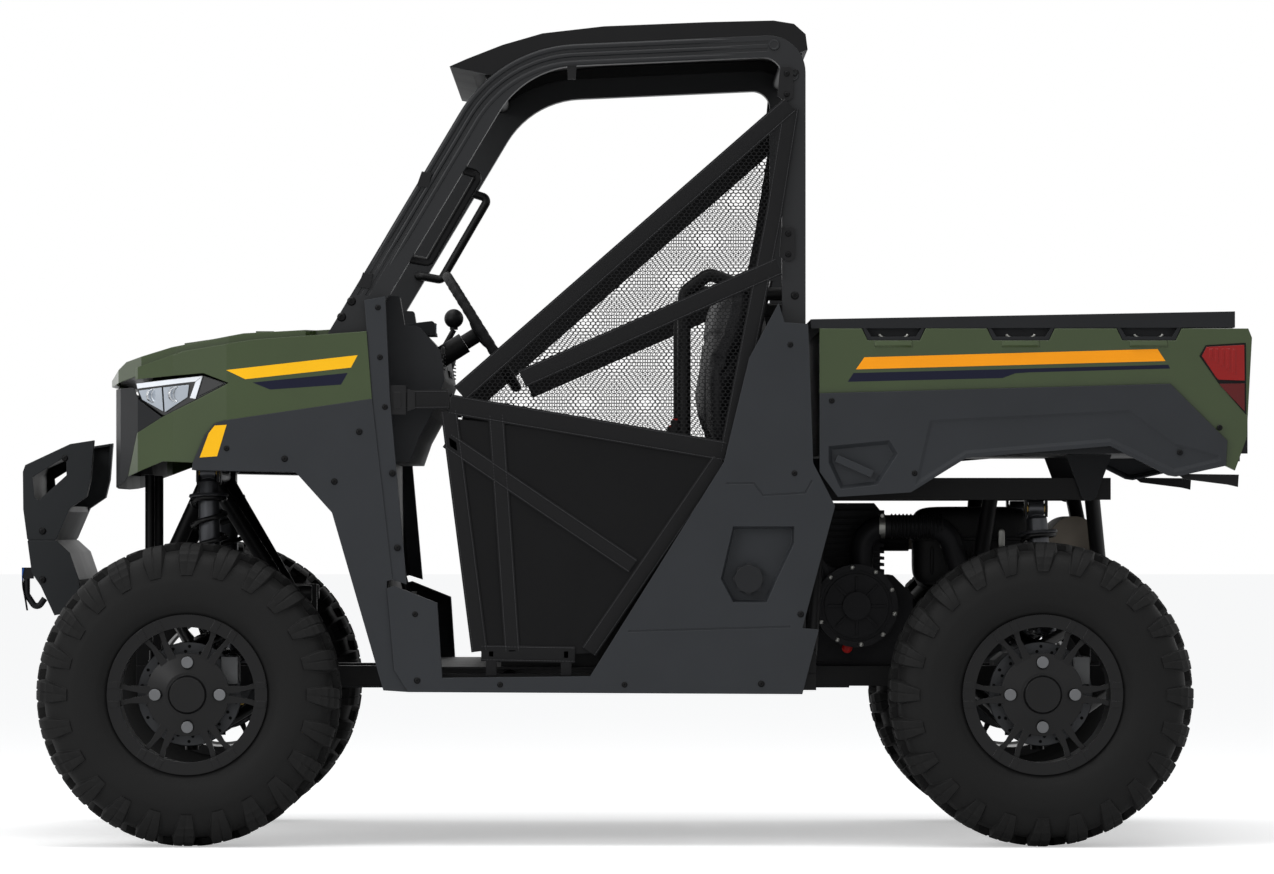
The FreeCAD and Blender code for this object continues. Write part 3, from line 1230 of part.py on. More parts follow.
def save_drive():
    save("engine", [engine()])
    save("clutch_cover", [clutch_cover()])
    save("exhaust", [exhaust()])
    rear_case = [(-1085, 302), (-1068, 285), (-942, 285), (-925, 302), (-925, 435), (-950, 455),
                 (-1060, 455), (-1085, 430)]
    front_case = [(985, 306), (1001, 290), (1104, 290), (1120, 306), (1120, 420), (1100, 440),
                  (1005, 440), (985, 425)]
    save("gearcases", [plate_y(rear_case, -95, 95), plate_y(front_case, -75, 75)])
    shafts = []
    for x, start, king in ((FRONT_AXLE_X, 75 + SEAM, KING_Y), (REAR_AXLE_X, 95 + SEAM, KING_Y - 25)):
        shaft = rod((x, start, AXLE_Z), (x, king, AXLE_Z), SHAFT_RADIUS)
        shafts += pair(fused([shaft, Part.makeSphere(CV_BALL, vec(x, king, AXLE_Z))]))
    prop = rod((-925 + SEAM, 0, 402), (985 - SEAM, 0, 402), 12)
    save("drive_shafts", shafts + [prop])
    skid_top = RAIL_Z - RAIL_SIZE / 2 - SEAM
    save("skid_plate", [block(-560, 975, -195, 195, skid_top - 4, skid_top)])
    rod_x = FRONT_AXLE_X + STEER_ARM
    pieces = [rod((rod_x, -KING_Y, ROD_Z), (rod_x, KING_Y, ROD_Z), 8)]
    for side in (1, -1):
        y = side * KING_Y
        pieces.append(rod((rod_x, y, ROD_Z - 14 + SEAM), (rod_x, y, ROD_Z + 10), 14))
    save("tie_rods", [fused(pieces)])
    save("fuel_cap", [fuel_cap()])


save_wheels()
save_arms()
save_shocks()
save_frame()
save("frame_rear", [frame_rear()])
save("hitch", [receiver()])
save_nose()
save("bumper", [bumper()])
save("winch", [winch()])
save_cab()
save_bed()
save_drive()
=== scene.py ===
import bpy
import math
import numpy as np
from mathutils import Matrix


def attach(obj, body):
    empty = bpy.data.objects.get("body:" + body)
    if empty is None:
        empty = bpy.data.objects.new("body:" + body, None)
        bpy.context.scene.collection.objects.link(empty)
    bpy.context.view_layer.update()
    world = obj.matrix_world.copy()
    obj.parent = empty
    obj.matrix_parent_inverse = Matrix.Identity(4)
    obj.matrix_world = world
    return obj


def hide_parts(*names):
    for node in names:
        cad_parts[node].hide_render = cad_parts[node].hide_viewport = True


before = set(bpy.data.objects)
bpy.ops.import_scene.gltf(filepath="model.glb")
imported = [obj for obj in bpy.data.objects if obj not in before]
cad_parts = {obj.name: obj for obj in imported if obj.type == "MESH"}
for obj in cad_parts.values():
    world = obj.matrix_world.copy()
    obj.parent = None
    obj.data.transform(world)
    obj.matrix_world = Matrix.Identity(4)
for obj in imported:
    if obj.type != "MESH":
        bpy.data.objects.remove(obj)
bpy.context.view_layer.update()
scene = bpy.context.scene

# The camera stands square to the driver's side, nearly 18 m away, with a long lens, so that the
# far wheels show only a little way past the near ones. The front of the vehicle is to the left.
lens = bpy.data.cameras.new("side_view")
lens.sensor_width = 36
lens.lens = 200.15
lens.shift_x = 0.0173
lens.shift_y = 0.0675
viewer = bpy.data.objects.new("side_view", lens)
viewer.location = (0.023, 17.825, 0.78)
viewer.rotation_euler = (math.pi / 2, 0, math.pi)
scene.collection.objects.link(viewer)
scene.camera = viewer

# A white studio: an even dome, one long soft box overhead, one from the front corner, and a
# pale floor that keeps the shadow of the vehicle and is otherwise as white as the backdrop.

def fill_in(node, **values):
    """Sets the input sockets of a node, whose names are written with _ for a space."""
    for socket, value in values.items():
        node.inputs[socket.replace("_", " ")].default_value = value
    return node


def add_node(tree, kind, operation=None, **values):
    """A new shader node of a kind, with its operation and the values of its sockets."""
    made = tree.nodes.new("ShaderNode" + kind)
    if operation:
        made.operation = operation
    return fill_in(made, **values)


def join(source, output, target, socket):
    """Links an output of one node to an input of another, each by its name or number."""
    source.id_data.links.new(source.outputs[output], target.inputs[socket])


scene.view_settings.view_transform = "Standard"
dome = bpy.data.worlds.new("studio_dome")
scene.world = dome
dome.use_nodes = True
tree = dome.node_tree
tree.nodes.clear()
rays = add_node(tree, "LightPath")
seen = add_node(tree, "Math", "ADD")
seen.use_clamp = True
mirrored_rays = add_node(tree, "Math", "ADD")
join(rays, "Is Camera Ray", seen, 0)
join(rays, "Is Transmission Ray", mirrored_rays, 0)
join(rays, "Is Glossy Ray", mirrored_rays, 1)
join(mirrored_rays, 0, seen, 1)
even = add_node(tree, "Background", Color=(0.98, 0.99, 1.0, 1), Strength=0.62)
white = add_node(tree, "Background", Color=(1, 1, 1, 1), Strength=1.0)
choice = add_node(tree, "MixShader")
for number, node in enumerate((seen, even, white)):
    join(node, 0, choice, number)
join(choice, 0, add_node(tree, "OutputWorld"), 0)
for name, place, turn, width, length, watts in (
        ("overhead_box", (0.0, 0.6, 4.6), (0.0, 0.0, 0.0), 5.0, 3.0, 150),
        ("front_box", (4.5, 5.0, 3.2), (math.radians(58), 0.0, math.radians(138)), 3.0, 2.4, 110)):
    lamp = bpy.data.lights.new(name, "AREA")
    lamp.shape = "RECTANGLE"
    lamp.size = width
    lamp.size_y = length
    lamp.energy = watts
    box = bpy.data.objects.new(name, lamp)
    box.location = place
    box.rotation_euler = turn
    scene.collection.objects.link(box)

FLOOR_HALF = 90.0
ground = bpy.data.meshes.new("floor")
ground.from_pydata([(x * FLOOR_HALF, y * FLOOR_HALF, 0) for x, y in ((-1, -1), (1, -1), (1, 1), (-1, 1))],
                   [], [(0, 1, 2, 3)])
floor = bpy.data.objects.new("floor", ground)
scene.collection.objects.link(floor)
paint = bpy.data.materials.new("studio_floor")
paint.use_nodes = True
tree = paint.node_tree
tree.nodes.clear()
matt = add_node(tree, "BsdfDiffuse", Color=(0.84, 0.84, 0.84, 1))
lift = add_node(tree, "Emission")
gain = add_node(tree, "Math", "MULTIPLY")
gain.inputs[1].default_value = 0.42
both = add_node(tree, "AddShader")
join(add_node(tree, "LightPath"), "Is Camera Ray", gain, 0)
join(gain, 0, lift, "Strength")
join(matt, 0, both, 0)
join(lift, 0, both, 1)
join(both, 0, add_node(tree, "OutputMaterial"), 0)
ground.materials.append(paint)


# The tube frame and everything bolted straight to it is mild steel, welded and powder coated
# in satin black. The coat has a faint orange peel, and its colour is painted paler on its edges as a
# highlight.

def linear(r, g, b):
    """A colour of the sRGB scale from 0 to 255 as a shader takes it: ((c + .055) / 1.055) ** 2.4."""
    c = np.array((r, g, b)) / 255
    return (*np.where(c <= 0.04045, c / 12.92, ((c + 0.055) / 1.055) ** 2.4).tolist(), 1)


def finish(name, colour, rough, metal=0.0, grain=500.0, depth=0.2, mottle=0.1, edge=2.0, edge_highlight=0.25,
           gloss=0.16, coat=0.0):
    """A material: colour times (1 +- mottle x coarse noise), painted paler by `edge_highlight` where the
    rounded normal of the Bevel node leaves the flat one, a painted edge highlight; roughness varies with
    the same noise; a fine noise of `grain` cells a metre is the bump. `edge` is the rounding in millimetres."""
    made = bpy.data.materials.new(name)
    made.use_nodes = True
    tree = made.node_tree
    shader = fill_in(tree.nodes["Principled BSDF"], Metallic=metal, Specular_IOR_Level=gloss,
                     Coat_Weight=coat, Coat_Roughness=0.08)
    where = add_node(tree, "TexCoord")
    coarse = add_node(tree, "TexNoise", Scale=7.0, Detail=5.0)
    fine = add_node(tree, "TexNoise", Scale=grain, Detail=2.0)
    for texture in (coarse, fine):
        join(where, "Object", texture, "Vector")
    shade = add_node(tree, "MapRange", From_Min=0.3, From_Max=0.7, To_Min=1 - mottle, To_Max=1 + mottle)
    join(coarse, "Fac", shade, "Value")
    body = add_node(tree, "VectorMath", "SCALE")
    body.inputs[0].default_value = linear(*colour)[:3]
    join(shade, "Result", body, "Scale")
    rounded = add_node(tree, "Bevel", Radius=edge / 1000)
    rounded.samples = 4
    match = add_node(tree, "VectorMath", "DOT_PRODUCT")
    join(rounded, "Normal", match, 0)
    join(add_node(tree, "NewGeometry"), "Normal", match, 1)
    # Painted edge highlight: the base colour is mixed towards a paler one where the rounded normal leaves
    # the flat one.
    edge_highlight_share = add_node(tree, "MapRange", From_Min=0.98, From_Max=0.86, To_Min=0.0, To_Max=edge_highlight)
    join(match, "Value", edge_highlight_share, "Value")
    pale = add_node(tree, "Mix")
    pale.data_type = "RGBA"
    fill_in(pale, B=linear(*[min(255, c * 1.25 + 34) for c in colour]))
    join(edge_highlight_share, "Result", pale, "Factor")
    join(body, "Vector", pale, "A")
    join(pale, "Result", shader, "Base Color")
    polish = add_node(tree, "MapRange", To_Min=rough * 0.88, To_Max=min(1.0, rough * 1.12))
    join(coarse, "Fac", polish, "Value")
    join(polish, "Result", shader, "Roughness")
    bump = add_node(tree, "Bump", Strength=depth, Distance=0.0006)
    join(fine, "Fac", bump, "Height")
    join(rounded, "Normal", bump, "Normal")
    join(bump, "Normal", shader, "Normal")
    return made


def dress(made, *names):
    """Puts one finish on CAD nodes that keep their own shape, and gives it back."""
    for name in names:
        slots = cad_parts[name].data.materials
        slots.clear()
        slots.append(made)
    return made


dress(finish("powder_coat", (14, 14, 15), 0.4, grain=260, depth=0.12), "frame_lower", "frame_rear",
      "hitch", "arms_front", "arms_rear", "cage_cross", "hip_bars", "grab_handles", "seat_frame",
      "tie_rods")
dress(finish("skid_sheet", (34, 35, 36), 0.55, grain=180), "skid_plate")

# The uprights, gear cases and hubs are cast or forged: grey alloy with a sand-cast skin, dark
# engine paint on the block, and bright machined steel on the half shafts.
dress(finish("cast_alloy", (96, 97, 98), 0.5, metal=0.75, grain=420, depth=0.5, mottle=0.18),
      "gearcases", "knuckle_front_left", "knuckle_front_right", "knuckles_rear")
dress(finish("engine_paint", (30, 30, 32), 0.5, metal=0.3, grain=300, depth=0.4),
      "engine", "clutch_cover", "winch")
dress(finish("shaft_steel", (120, 120, 122), 0.35, metal=0.9, grain=700, depth=0.15), "drive_shafts")
hub_steel = dress(finish("hub_steel", (104, 105, 107), 0.36, metal=0.8, grain=800, depth=0.15),
                  "hub_front_left", "hub_front_right", "hub_rear_left", "hub_rear_right")
dress(finish("muffler_steel", (104, 98, 90), 0.46, metal=0.8, grain=240, depth=0.25, mottle=0.25),
      "exhaust")
fin_black = dress(finish("fin_black", (22, 22, 23), 0.6, metal=0.3, grain=300), "radiator")

# The body panels are injection moulded: green ones are high-gloss with a clear top layer, grey
# and black ones keep the fine leather-like grain of their mould. They clip and bolt together.
green_gloss = dress(finish("green_gloss", (52, 66, 34), 0.3, grain=90, depth=0.05, mottle=0.05,
                           edge=4.0, edge_highlight=0.12, gloss=0.3, coat=0.3),
                    "hood", "nose_panels", "bed_sides")
dress(finish("grey_grained", (46, 48, 51), 0.5, grain=900, depth=0.35, mottle=0.05, edge=2.5, edge_highlight=0.3),
      "fenders", "side_panels", "bed_skirts")
charcoal_grained = dress(finish("charcoal_grained", (31, 32, 34), 0.5, grain=900, depth=0.35, mottle=0.06),
                         "fascia", "front_tub", "dashboard", "bed_box", "tailgate", "fuel_cap")
black_grained = dress(finish("black_grained", (17, 17, 18), 0.48, grain=800, depth=0.35, mottle=0.06),
                      "roof", "floor", "controls")
dress(finish("bumper_coat", (32, 34, 36), 0.46, grain=420, depth=0.25, mottle=0.06), "bumper")
cage_coat = dress(finish("cage_coat", (27, 28, 30), 0.38, grain=300, depth=0.1, mottle=0.06, gloss=0.3),
                  "cage_sides")
dress(finish("rim_satin", (12, 12, 13), 0.3, metal=0.2, depth=0.08, edge_highlight=0.3, gloss=0.3),
      "rim_front_left", "rim_front_right", "rim_rear_left", "rim_rear_right")

# The tyres are all-terrain: a round carcass with a smooth side wall, and on each shoulder 24
# stepped lugs that reach down the side, with staggered blocks between them on the crown.
rubber = finish("rubber", (21, 21, 21), 0.66, grain=700, depth=0.4, mottle=0.14, edge=1.6, edge_highlight=0.3)
SIDES = ((1, "left"), (-1, "right"))
FRONT_AXLE_X, REAR_AXLE_X = 1051.5, -1005.5
# The wheels' centres are a tyre's radius above the ground.
TYRE_RADIUS = 367.0
TYRE_FACE = 825.0
LUGS_ROUND = 24
# (distance in from the outer face, radius) of the carcass from bead to crown, at the groove base
WALL = np.array([(27.3, 194), (25, 198), (19, 203), (17, 208), (10, 216), (4, 232), (1, 250), (0.5, 268),
                 (1.5, 281), (3, 283), (3.6, 286), (6, 300), (11, 316), (20, 330), (34, 340), (52, 345),
                 (76, 347.5)], float)
# Along a lug, from the side wall to the crown: its height, and half its width
SHOULDER_HEIGHTS = ((4, 4, 6.5, 6.5, 10, 10, 14, 14, 18.5, 19.5, 19.5, 19.5, 19.5, 14),
                    (3, 6, 6, 9, 9, 12.5, 12.5, 16.5, 17, 19.5, 19.5, 19.5, 19.5, 14))
SHOULDER_HALVES = (13, 17, 21, 24, 24.5, 24, 22)
CROWN_HEIGHTS, CROWN_HALVES = (15, 19.5, 19.5, 19.5, 15), (14, 17, 13)


def lattice(rows, columns, close_rows=False, close_columns=False):
    """The quads of a grid of points: (i, j), (i, j+1), (i+1, j+1), (i+1, j), row by row."""
    i = np.arange(rows if close_rows else rows - 1)[:, None]
    j = np.arange(columns if close_columns else columns - 1)[None, :]
    below, beside = (i + 1) % rows, (j + 1) % columns
    quads = [i * columns + j, i * columns + beside, below * columns + beside, below * columns + j]
    return np.stack(quads, -1).reshape(-1, 4)


def xyz(x, y, z):
    """Points from three arrays or numbers, each spread over the shape of all three."""
    return np.stack(np.broadcast_arrays(x, y, z), -1)


def outward(points, faces):
    """The faces, all turned over when the volume they enclose, the sum of a . (b x c) / 6 over
    their first triangles and second triangles, comes out negative."""
    a, b, c, d = (points[faces[:, k]] for k in (0, 1, 2, -1))
    volume = np.einsum("ij,ij->", a, np.cross(b, c)) + np.einsum("ij,ij->", a, np.cross(c, d))
    return faces[:, ::-1] if volume < 0 else faces


def piece(name, parts, body, made, smooth=30.0):
    """One mesh from (points, faces) or (points, faces, number of its material) in millimetres, which
    rides on a body in a material slot. Edges sharper than `smooth` degrees stay crisp."""
    start, points, faces, kinds = 0, [], [], []
    for some_points, some_faces, *kind in parts:
        points.append(np.asarray(some_points, float).reshape(-1, 3) / 1000)
        some_faces = some_faces.tolist() if isinstance(some_faces, np.ndarray) else some_faces
        faces += [[start + int(k) for k in face] for face in some_faces]
        kinds += [kind[0] if kind else 0] * len(some_faces)
        start += len(points[-1])
    mesh = bpy.data.meshes.new(name)
    mesh.from_pydata(np.concatenate(points).tolist(), [], faces)
    mesh.shade_smooth()
    mesh.set_sharp_from_angle(angle=math.radians(smooth))
    for one in made if isinstance(made, list) else [made]:
        mesh.materials.append(one)
    mesh.polygons.foreach_set("material_index", kinds)
    obj = bpy.data.objects.new(name, mesh)
    scene.collection.objects.link(obj)
    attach(obj, body)
    return obj


def carcass_line(share, width, lift):
    """A point of the section: share 0 is the bead of the outer wall, 1 that of the inner wall. The
    distance along WALL gives the place, and `lift` moves it out along the local normal."""
    line = np.concatenate([WALL, WALL[::-1] * (-1, 1) + (width, 0)])
    run = np.concatenate([[0], np.cumsum(np.hypot(*np.diff(line, axis=0).T))])
    spot = np.asarray(share) * run[-1]
    d, r = np.interp(spot, run, line[:, 0]), np.interp(spot, run, line[:, 1])
    ahead = np.stack([np.interp(spot + 4, run, line[:, k]) - np.interp(spot - 4, run, line[:, k])
                      for k in (0, 1)], -1)
    ahead /= np.maximum(np.linalg.norm(ahead, axis=-1, keepdims=True), 1e-9)
    return d + lift * -ahead[..., 1], r + lift * ahead[..., 0]


def tyre_lugs(x, side, width, shares, heights, halves, skew, phase, count):
    """Lugs carried along the section between two shares. At station t the lug has a height and a
    half width; its cross-section has a sunk foot, a drafted flank and a flat top, and its centre
    line turns about the axle by skew x t."""
    t = np.linspace(0, 1, len(heights))
    share = shares[0] + (shares[1] - shares[0]) * t
    half = np.interp(t, np.linspace(0, 1, len(halves)), halves)
    across = np.array([-1.18, -1.0, -0.93, -0.14, 0, 0.14, 0.93, 1.0, 1.18])
    sunk = np.array([-3.0, 0, 0, 0, 0, 0, 0, 0, -3.0])
    rise = np.array([0, 0.86, 1, 1, 0.84, 1, 1, 0.86, 0])
    lift = sunk + rise * np.array(heights, float)[:, None]
    d, r = carcass_line(np.repeat(share[:, None], 9, 1), width, lift)
    r = np.minimum(r, TYRE_RADIUS)
    base = (np.arange(count) * 2 * np.pi / count + phase)[:, None, None]
    turn = base + (skew * t[:, None] + across[None, :] * half[:, None] / r)[None]
    y = side * (TYRE_FACE - np.clip(d, 0.3, width - 0.3))
    points = xyz(x + r * np.cos(turn), y, TYRE_RADIUS + r * np.sin(turn))
    quads = lattice(len(t), 9)
    faces = quads.tolist() + [list(range(9)), [len(t) * 9 - 1 - k for k in range(9)]]
    if outward(points[0].reshape(-1, 3), quads)[0][0] != quads[0][0]:
        faces = [face[::-1] for face in faces]
    return [(lug, faces) for lug in points.reshape(count, -1, 3)]


def tyre(place, x, side, width):
    """The carcass is its section, closed by the room for the air, turned about the axle in 96 steps
    of (radius, y). Two kinds of shoulder lug take turns on each side, with crown blocks between."""
    d, r = carcass_line(np.linspace(0, 1, 60), width, np.zeros(60))
    room = [(180, width - 39.3), (250, width - 16), (310, width - 30), (322, width - 60),
            (322, 60), (310, 30), (250, 16), (180, 39.3)]
    r, d = np.array([*zip(r, d), *room], float).T
    turn = np.linspace(0, 2 * np.pi, 96, endpoint=False)[:, None]
    ring = xyz(x + r * np.cos(turn), side * (TYRE_FACE - d), TYRE_RADIUS + r * np.sin(turn)).reshape(-1, 3)
    parts = [(ring, outward(ring, lattice(96, len(r), True, True)))]
    pitch = 2 * math.pi / LUGS_ROUND
    for sign, phase, shoulder, crown in ((1, 0.0, (0.205, 0.40), (0.425, 0.492)),
                                         (-1, pitch / 2, (0.795, 0.60), (0.575, 0.508))):
        for number, heights in enumerate(SHOULDER_HEIGHTS):
            parts += tyre_lugs(x, side, width, shoulder, heights, SHOULDER_HALVES, 0.035 * sign,
                               phase + number * pitch, LUGS_ROUND // 2)
        parts += tyre_lugs(x, side, width, crown, CROWN_HEIGHTS, CROWN_HALVES, 0.05 * sign,
                           phase + pitch / 2, LUGS_ROUND)
    whole = piece(place + "_tread", parts, "wheel_" + place, rubber, 24)
    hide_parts("tyre_" + place)


for end, x, width in (("front_", FRONT_AXLE_X, 235), ("rear_", REAR_AXLE_X, 280)):
    for side, hand in SIDES:
        tyre(end + hand, x, side, width)


# Four oil dampers carry the axles: a grey body and a bright shaft inside a black coil spring that
# sits between two pressed cups. Their eyes turn on bolts through lugs of the frame and the arms.

def capped(points, rows, columns):
    """A closed skin over a grid whose rows are rings: its quads, and a face on each end ring."""
    points = points.reshape(-1, 3)
    quads = outward(points, lattice(rows, columns, False, True))
    turned_over = quads[0][1] != 1
    ends = [list(range(columns)), [len(points) - 1 - k for k in range(columns)]]
    return points, [list(q) for q in quads] + [e if turned_over else e[::-1] for e in ends]


def tube(path, radius, steps=12, up=(0, 0, 1), closed=False):
    """A circle carried along a path: at each point p + r (cos a . n + sin a . b), where n is the
    part of `up` square to the path and b is the cross product of both."""
    p = np.asarray(path, float)
    ahead = np.roll(p, -1, 0) - np.roll(p, 1, 0) if closed else np.gradient(p, axis=0)
    ahead /= np.linalg.norm(ahead, axis=1, keepdims=True)
    n = np.asarray(up, float) - ahead * (ahead @ np.asarray(up, float))[:, None]
    n /= np.linalg.norm(n, axis=1, keepdims=True)
    b = np.cross(ahead, n)
    a = np.linspace(0, 2 * np.pi, steps, endpoint=False)[None, :, None]
    r = np.broadcast_to(np.asarray(radius, float), (len(p),))[:, None, None]
    points = (p[:, None] + r * (np.cos(a) * n[:, None] + np.sin(a) * b[:, None])).reshape(-1, 3)
    if closed:
        return points, outward(points, lattice(len(p), steps, True, True))
    return capped(points, len(p), steps)


def turned(start, end, radius_and_reach, steps=40):
    """A profile of (radius, distance from start) turned about the line from start to end."""
    a, axis = np.asarray(start, float), np.subtract(end, start).astype(float)
    axis /= np.linalg.norm(axis)
    n = np.cross(axis, (0, 1, 0) if abs(axis[1]) < 0.8 else (1, 0, 0))
    n /= np.linalg.norm(n)
    r, s = np.array(radius_and_reach, float).T
    r = np.where(r <= 0, 0.02, r)
    t = np.linspace(0, 2 * np.pi, steps, endpoint=False)[:, None, None]
    points = a + s[:, None] * axis + r[:, None] * (np.cos(t) * n + np.sin(t) * np.cross(axis, n))
    points = points.reshape(-1, 3)
    return points, outward(points, lattice(steps, len(r), True, True))


spring_black = finish("spring_black", (20, 20, 21), 0.26, grain=400, depth=0.06, edge=0.5)
damper_grey = finish("damper_grey", (74, 75, 78), 0.34, metal=0.7, depth=0.1)
bolt_brass = finish("bolt_brass", (150, 124, 66), 0.36, metal=0.9, grain=700, depth=0.15, edge=0.8)
SPRING_R, SPRING_WIRE, SPRING_TURNS = 39.5, 6.6, 7
LOW_CUP, HIGH_CUP = 66.0, 124.0
EYE = [(12, -19), (21, -19), (22, -17), (22, 17), (21, 19), (12, 19)]
EYE_BOLT = [(0, -29), (12, -29), (13.5, -26), (13.5, -20), (10, -20), (10, 20), (13.5, 20), (13.5, 27),
            (8, 29), (0, 29)]
# The upper and the lower eye of each damper on the left
DAMPER_EYES = (((1024, 398, 905), (1008, 440, 308)), ((-1012, 408, 814.7), (-1052, 432, 305.1)))
spring_parts = []
for side in (1, -1):
    for top, foot in DAMPER_EYES:
        a, b = np.array(top, float) * (1, side, 1), np.array(foot, float) * (1, side, 1)
        axis = b - a
        length = np.linalg.norm(axis)
        axis /= length
        high = length - HIGH_CUP
        n = np.cross(axis, (1, 0, 0))
        n /= np.linalg.norm(n)
        t = np.linspace(0, 1, SPRING_TURNS * 26)
        reach = LOW_CUP + (high - LOW_CUP) * np.clip(t * 1.16 - 0.08, 0, 1)
        turn = t * (SPRING_TURNS + 1.4) * 2 * np.pi
        coil = a + reach[:, None] * axis + SPRING_R * (np.cos(turn)[:, None] * n
                                                       + np.sin(turn)[:, None] * np.cross(axis, n))
        cup = [(r, LOW_CUP + s) for r, s in ((20, -12), (47, -12), (49, -6), (46, -4), (31, -6), (20, -6))]
        oil_body = [(0, 14), (15, 14), (25, 24), (26, 40), (26, 300), (23, 306), (11, 308),
                    (11, length - 60), (17, length - 52), (17, length - 14), (0, length - 14)]
        spring_parts.append(tube(coil, SPRING_WIRE, 10, up=axis))
        for profile in (cup, [(r, LOW_CUP + high - s) for r, s in cup], oil_body):
            spring_parts.append((*turned(a, b, profile), 1))
        for spot in (a, b):
            spring_parts.append((*turned(spot, spot + (1, 0, 0), EYE, 32), 1))
            spring_parts.append((*turned(spot, spot + (1, 0, 0), EYE_BOLT, 6), 2))
springs = piece("coil_over_dampers", spring_parts, "chassis", [spring_black, damper_grey, bolt_brass],
                28)
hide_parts("shocks")

# The stripes are cut from thick printed film and pressed onto the painted panels: an orange and a
# navy one along each bed side, a yellow one with a dark plate below it on each side of the nose.
NOSE_PLAN = np.array([(480, 735), (960, 735), (1090, 710), (1180, 652), (1228, 560), (1250, 400),
                      (1258, 200)], float)
NOSE_SKIN, BED_SKIN = 735.0, 725.0


def walked(line, count):
    """Points at even steps of length along a broken line."""
    line = np.asarray(line, float)
    run = np.concatenate([[0], np.cumsum(np.linalg.norm(np.diff(line, axis=0), axis=1))])
    spots = np.linspace(0, run[-1], count)
    return np.stack([np.interp(spots, run, line[:, k]) for k in range(line.shape[1])], -1)


def slab(upper, lower, front, back, side=1, n=24, m=4):
    """A closed skin between two side-view lines: its outer face has y = front(x) and its inner face
    y = back(x), where each is a number or a function of x; `side` mirrors it."""
    s = np.linspace(0, 1, m)[None, :, None]
    grid = walked(upper, n)[:, None] * (1 - s) + walked(lower, n)[:, None] * s
    loops = np.concatenate([grid, grid[:, ::-1]], 1)
    y = [f(grid[..., 0]) if callable(f) else np.full(grid.shape[:2], float(f)) for f in (front, back)]
    y = np.concatenate([y[0], y[1][:, ::-1]], 1)
    return capped(xyz(loops[..., 0], side * y, loops[..., 1]), n, 2 * m)


def film(upper, lower, skin, side):
    """A stripe between two side-view lines, 0.5 mm proud of a flat skin and sunk 0.4 mm in it."""
    return slab(upper, lower, skin + 0.5, skin - 0.4, side)


def on_nose(out):
    """The outer face of the nose at x, a little further out or in."""
    return lambda x: np.interp(x, *NOSE_PLAN.T) + out


film_orange = finish("film_orange", (252, 158, 22), 0.34, grain=200, depth=0.04, mottle=0.03, edge=0.3,
                     edge_highlight=0.05)
film_navy = finish("film_navy", (20, 22, 42), 0.34, grain=200, depth=0.04, mottle=0.04, edge=0.3,
                   edge_highlight=0.1)
film_yellow = finish("film_yellow", (250, 188, 24), 0.34, grain=200, depth=0.04, mottle=0.03, edge=0.3,
                     edge_highlight=0.05)
for side, hand in SIDES:
    bed_film = [film([(-559, 1151), (-1306, 1171)], [(-579, 1180), (-1287, 1200)], BED_SKIN, side),
                (*film([(-539, 1121), (-914, 1130), (-948, 1143), (-1317, 1153)],
                       [(-553, 1142), (-916, 1151), (-948, 1152), (-1313, 1162)], BED_SKIN, side), 1)]
    piece("bed_stripes_" + hand, bed_film, "bed", [film_orange, film_navy])
    nose_film = [film([(961, 1149), (644, 1185)], [(915, 1127), (660, 1155)], NOSE_SKIN, side),
                 (*film([(897, 1119), (668, 1142)], [(855, 1102), (684, 1114)], NOSE_SKIN, side), 1)]
    piece("nose_stripes_" + hand, nose_film, "chassis", [film_yellow, film_navy])
    marker = slab([(983, 941), (960, 1017)], [(1025, 938), (1003, 997), (989, 1015)],
                  NOSE_SKIN + 1.2, NOSE_SKIN - 2, side)
    piece("side_marker_" + hand, [marker], "chassis", [film_yellow])

# The head lamps are sealed units in the corners of the nose: a dark tray behind, a white light
# guide round the upper and rear edge, and a faceted clear lens with two bowls below it.
lamp_tray = finish("lamp_tray", (20, 21, 23), 0.25, grain=120, depth=0.05, coat=0.5, gloss=0.5)
light_guide = finish("light_guide", (238, 242, 248), 0.18, grain=80, depth=0.03, mottle=0.03, coat=0.6)
lens_face = finish("lens_face", (168, 176, 186), 0.08, metal=0.35, grain=50, depth=0.1, coat=1.0,
                   gloss=0.5)
chrome_bowl = finish("chrome_bowl", (205, 208, 212), 0.12, metal=0.95, grain=90, depth=0.05)
# (upper line, lower line, how far the faces lie behind the nose's skin, stations, number of material)
LAMP_PANES = (
    ([(1184, 1118), (1019, 1135)], [(1181, 1106), (1036, 1122)], (4, 16), 20, 1),
    ([(1019, 1135), (1036, 1080)], [(1036, 1121), (1050, 1082)], (4, 16), 12, 1),
    ([(1015, 1134), (966, 1117)], [(1030, 1086), (990, 1105)], (7, 16), 12, 0),
    ([(1178, 1101), (1120, 1108)], [(1169, 1079), (1116, 1050)], (5, 14), 10, 2),
    ([(1116, 1108), (1052, 1114)], [(1112, 1048), (1056, 1084)], (5, 14), 10, 2))
for side, hand in SIDES:
    parts = [slab([(1186, 1119), (1018, 1136), (961, 1117)],
                  [(1175, 1079), (1115, 1039), (1036, 1078), (963, 1116)],
                  on_nose(-10), on_nose(-52), side, 30, 6)]
    for upper, lower, (front, back), count, kind in LAMP_PANES:
        parts.append((*slab(upper, lower, on_nose(-front), on_nose(-back), side, count), kind))
    for x, z, r in ((1143, 1089, 15), (1086, 1091, 17)):
        y = float(on_nose(-3)(x))
        bowl = [(0, 0), (r * 0.35, 1), (r * 0.75, 5), (r, 10), (r + 2, 10), (r + 2, -3), (0, -3)]
        parts.append((*turned((x, side * (y - 5), z), (x - 3, side * y, z),
                              [(q, s * 0.7) for q, s in bowl], 28), 3))
    lamp = piece("head_lamp_" + hand, parts, "chassis",
                 [lamp_tray, light_guide, lens_face, chrome_bowl])
    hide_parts("headlights")

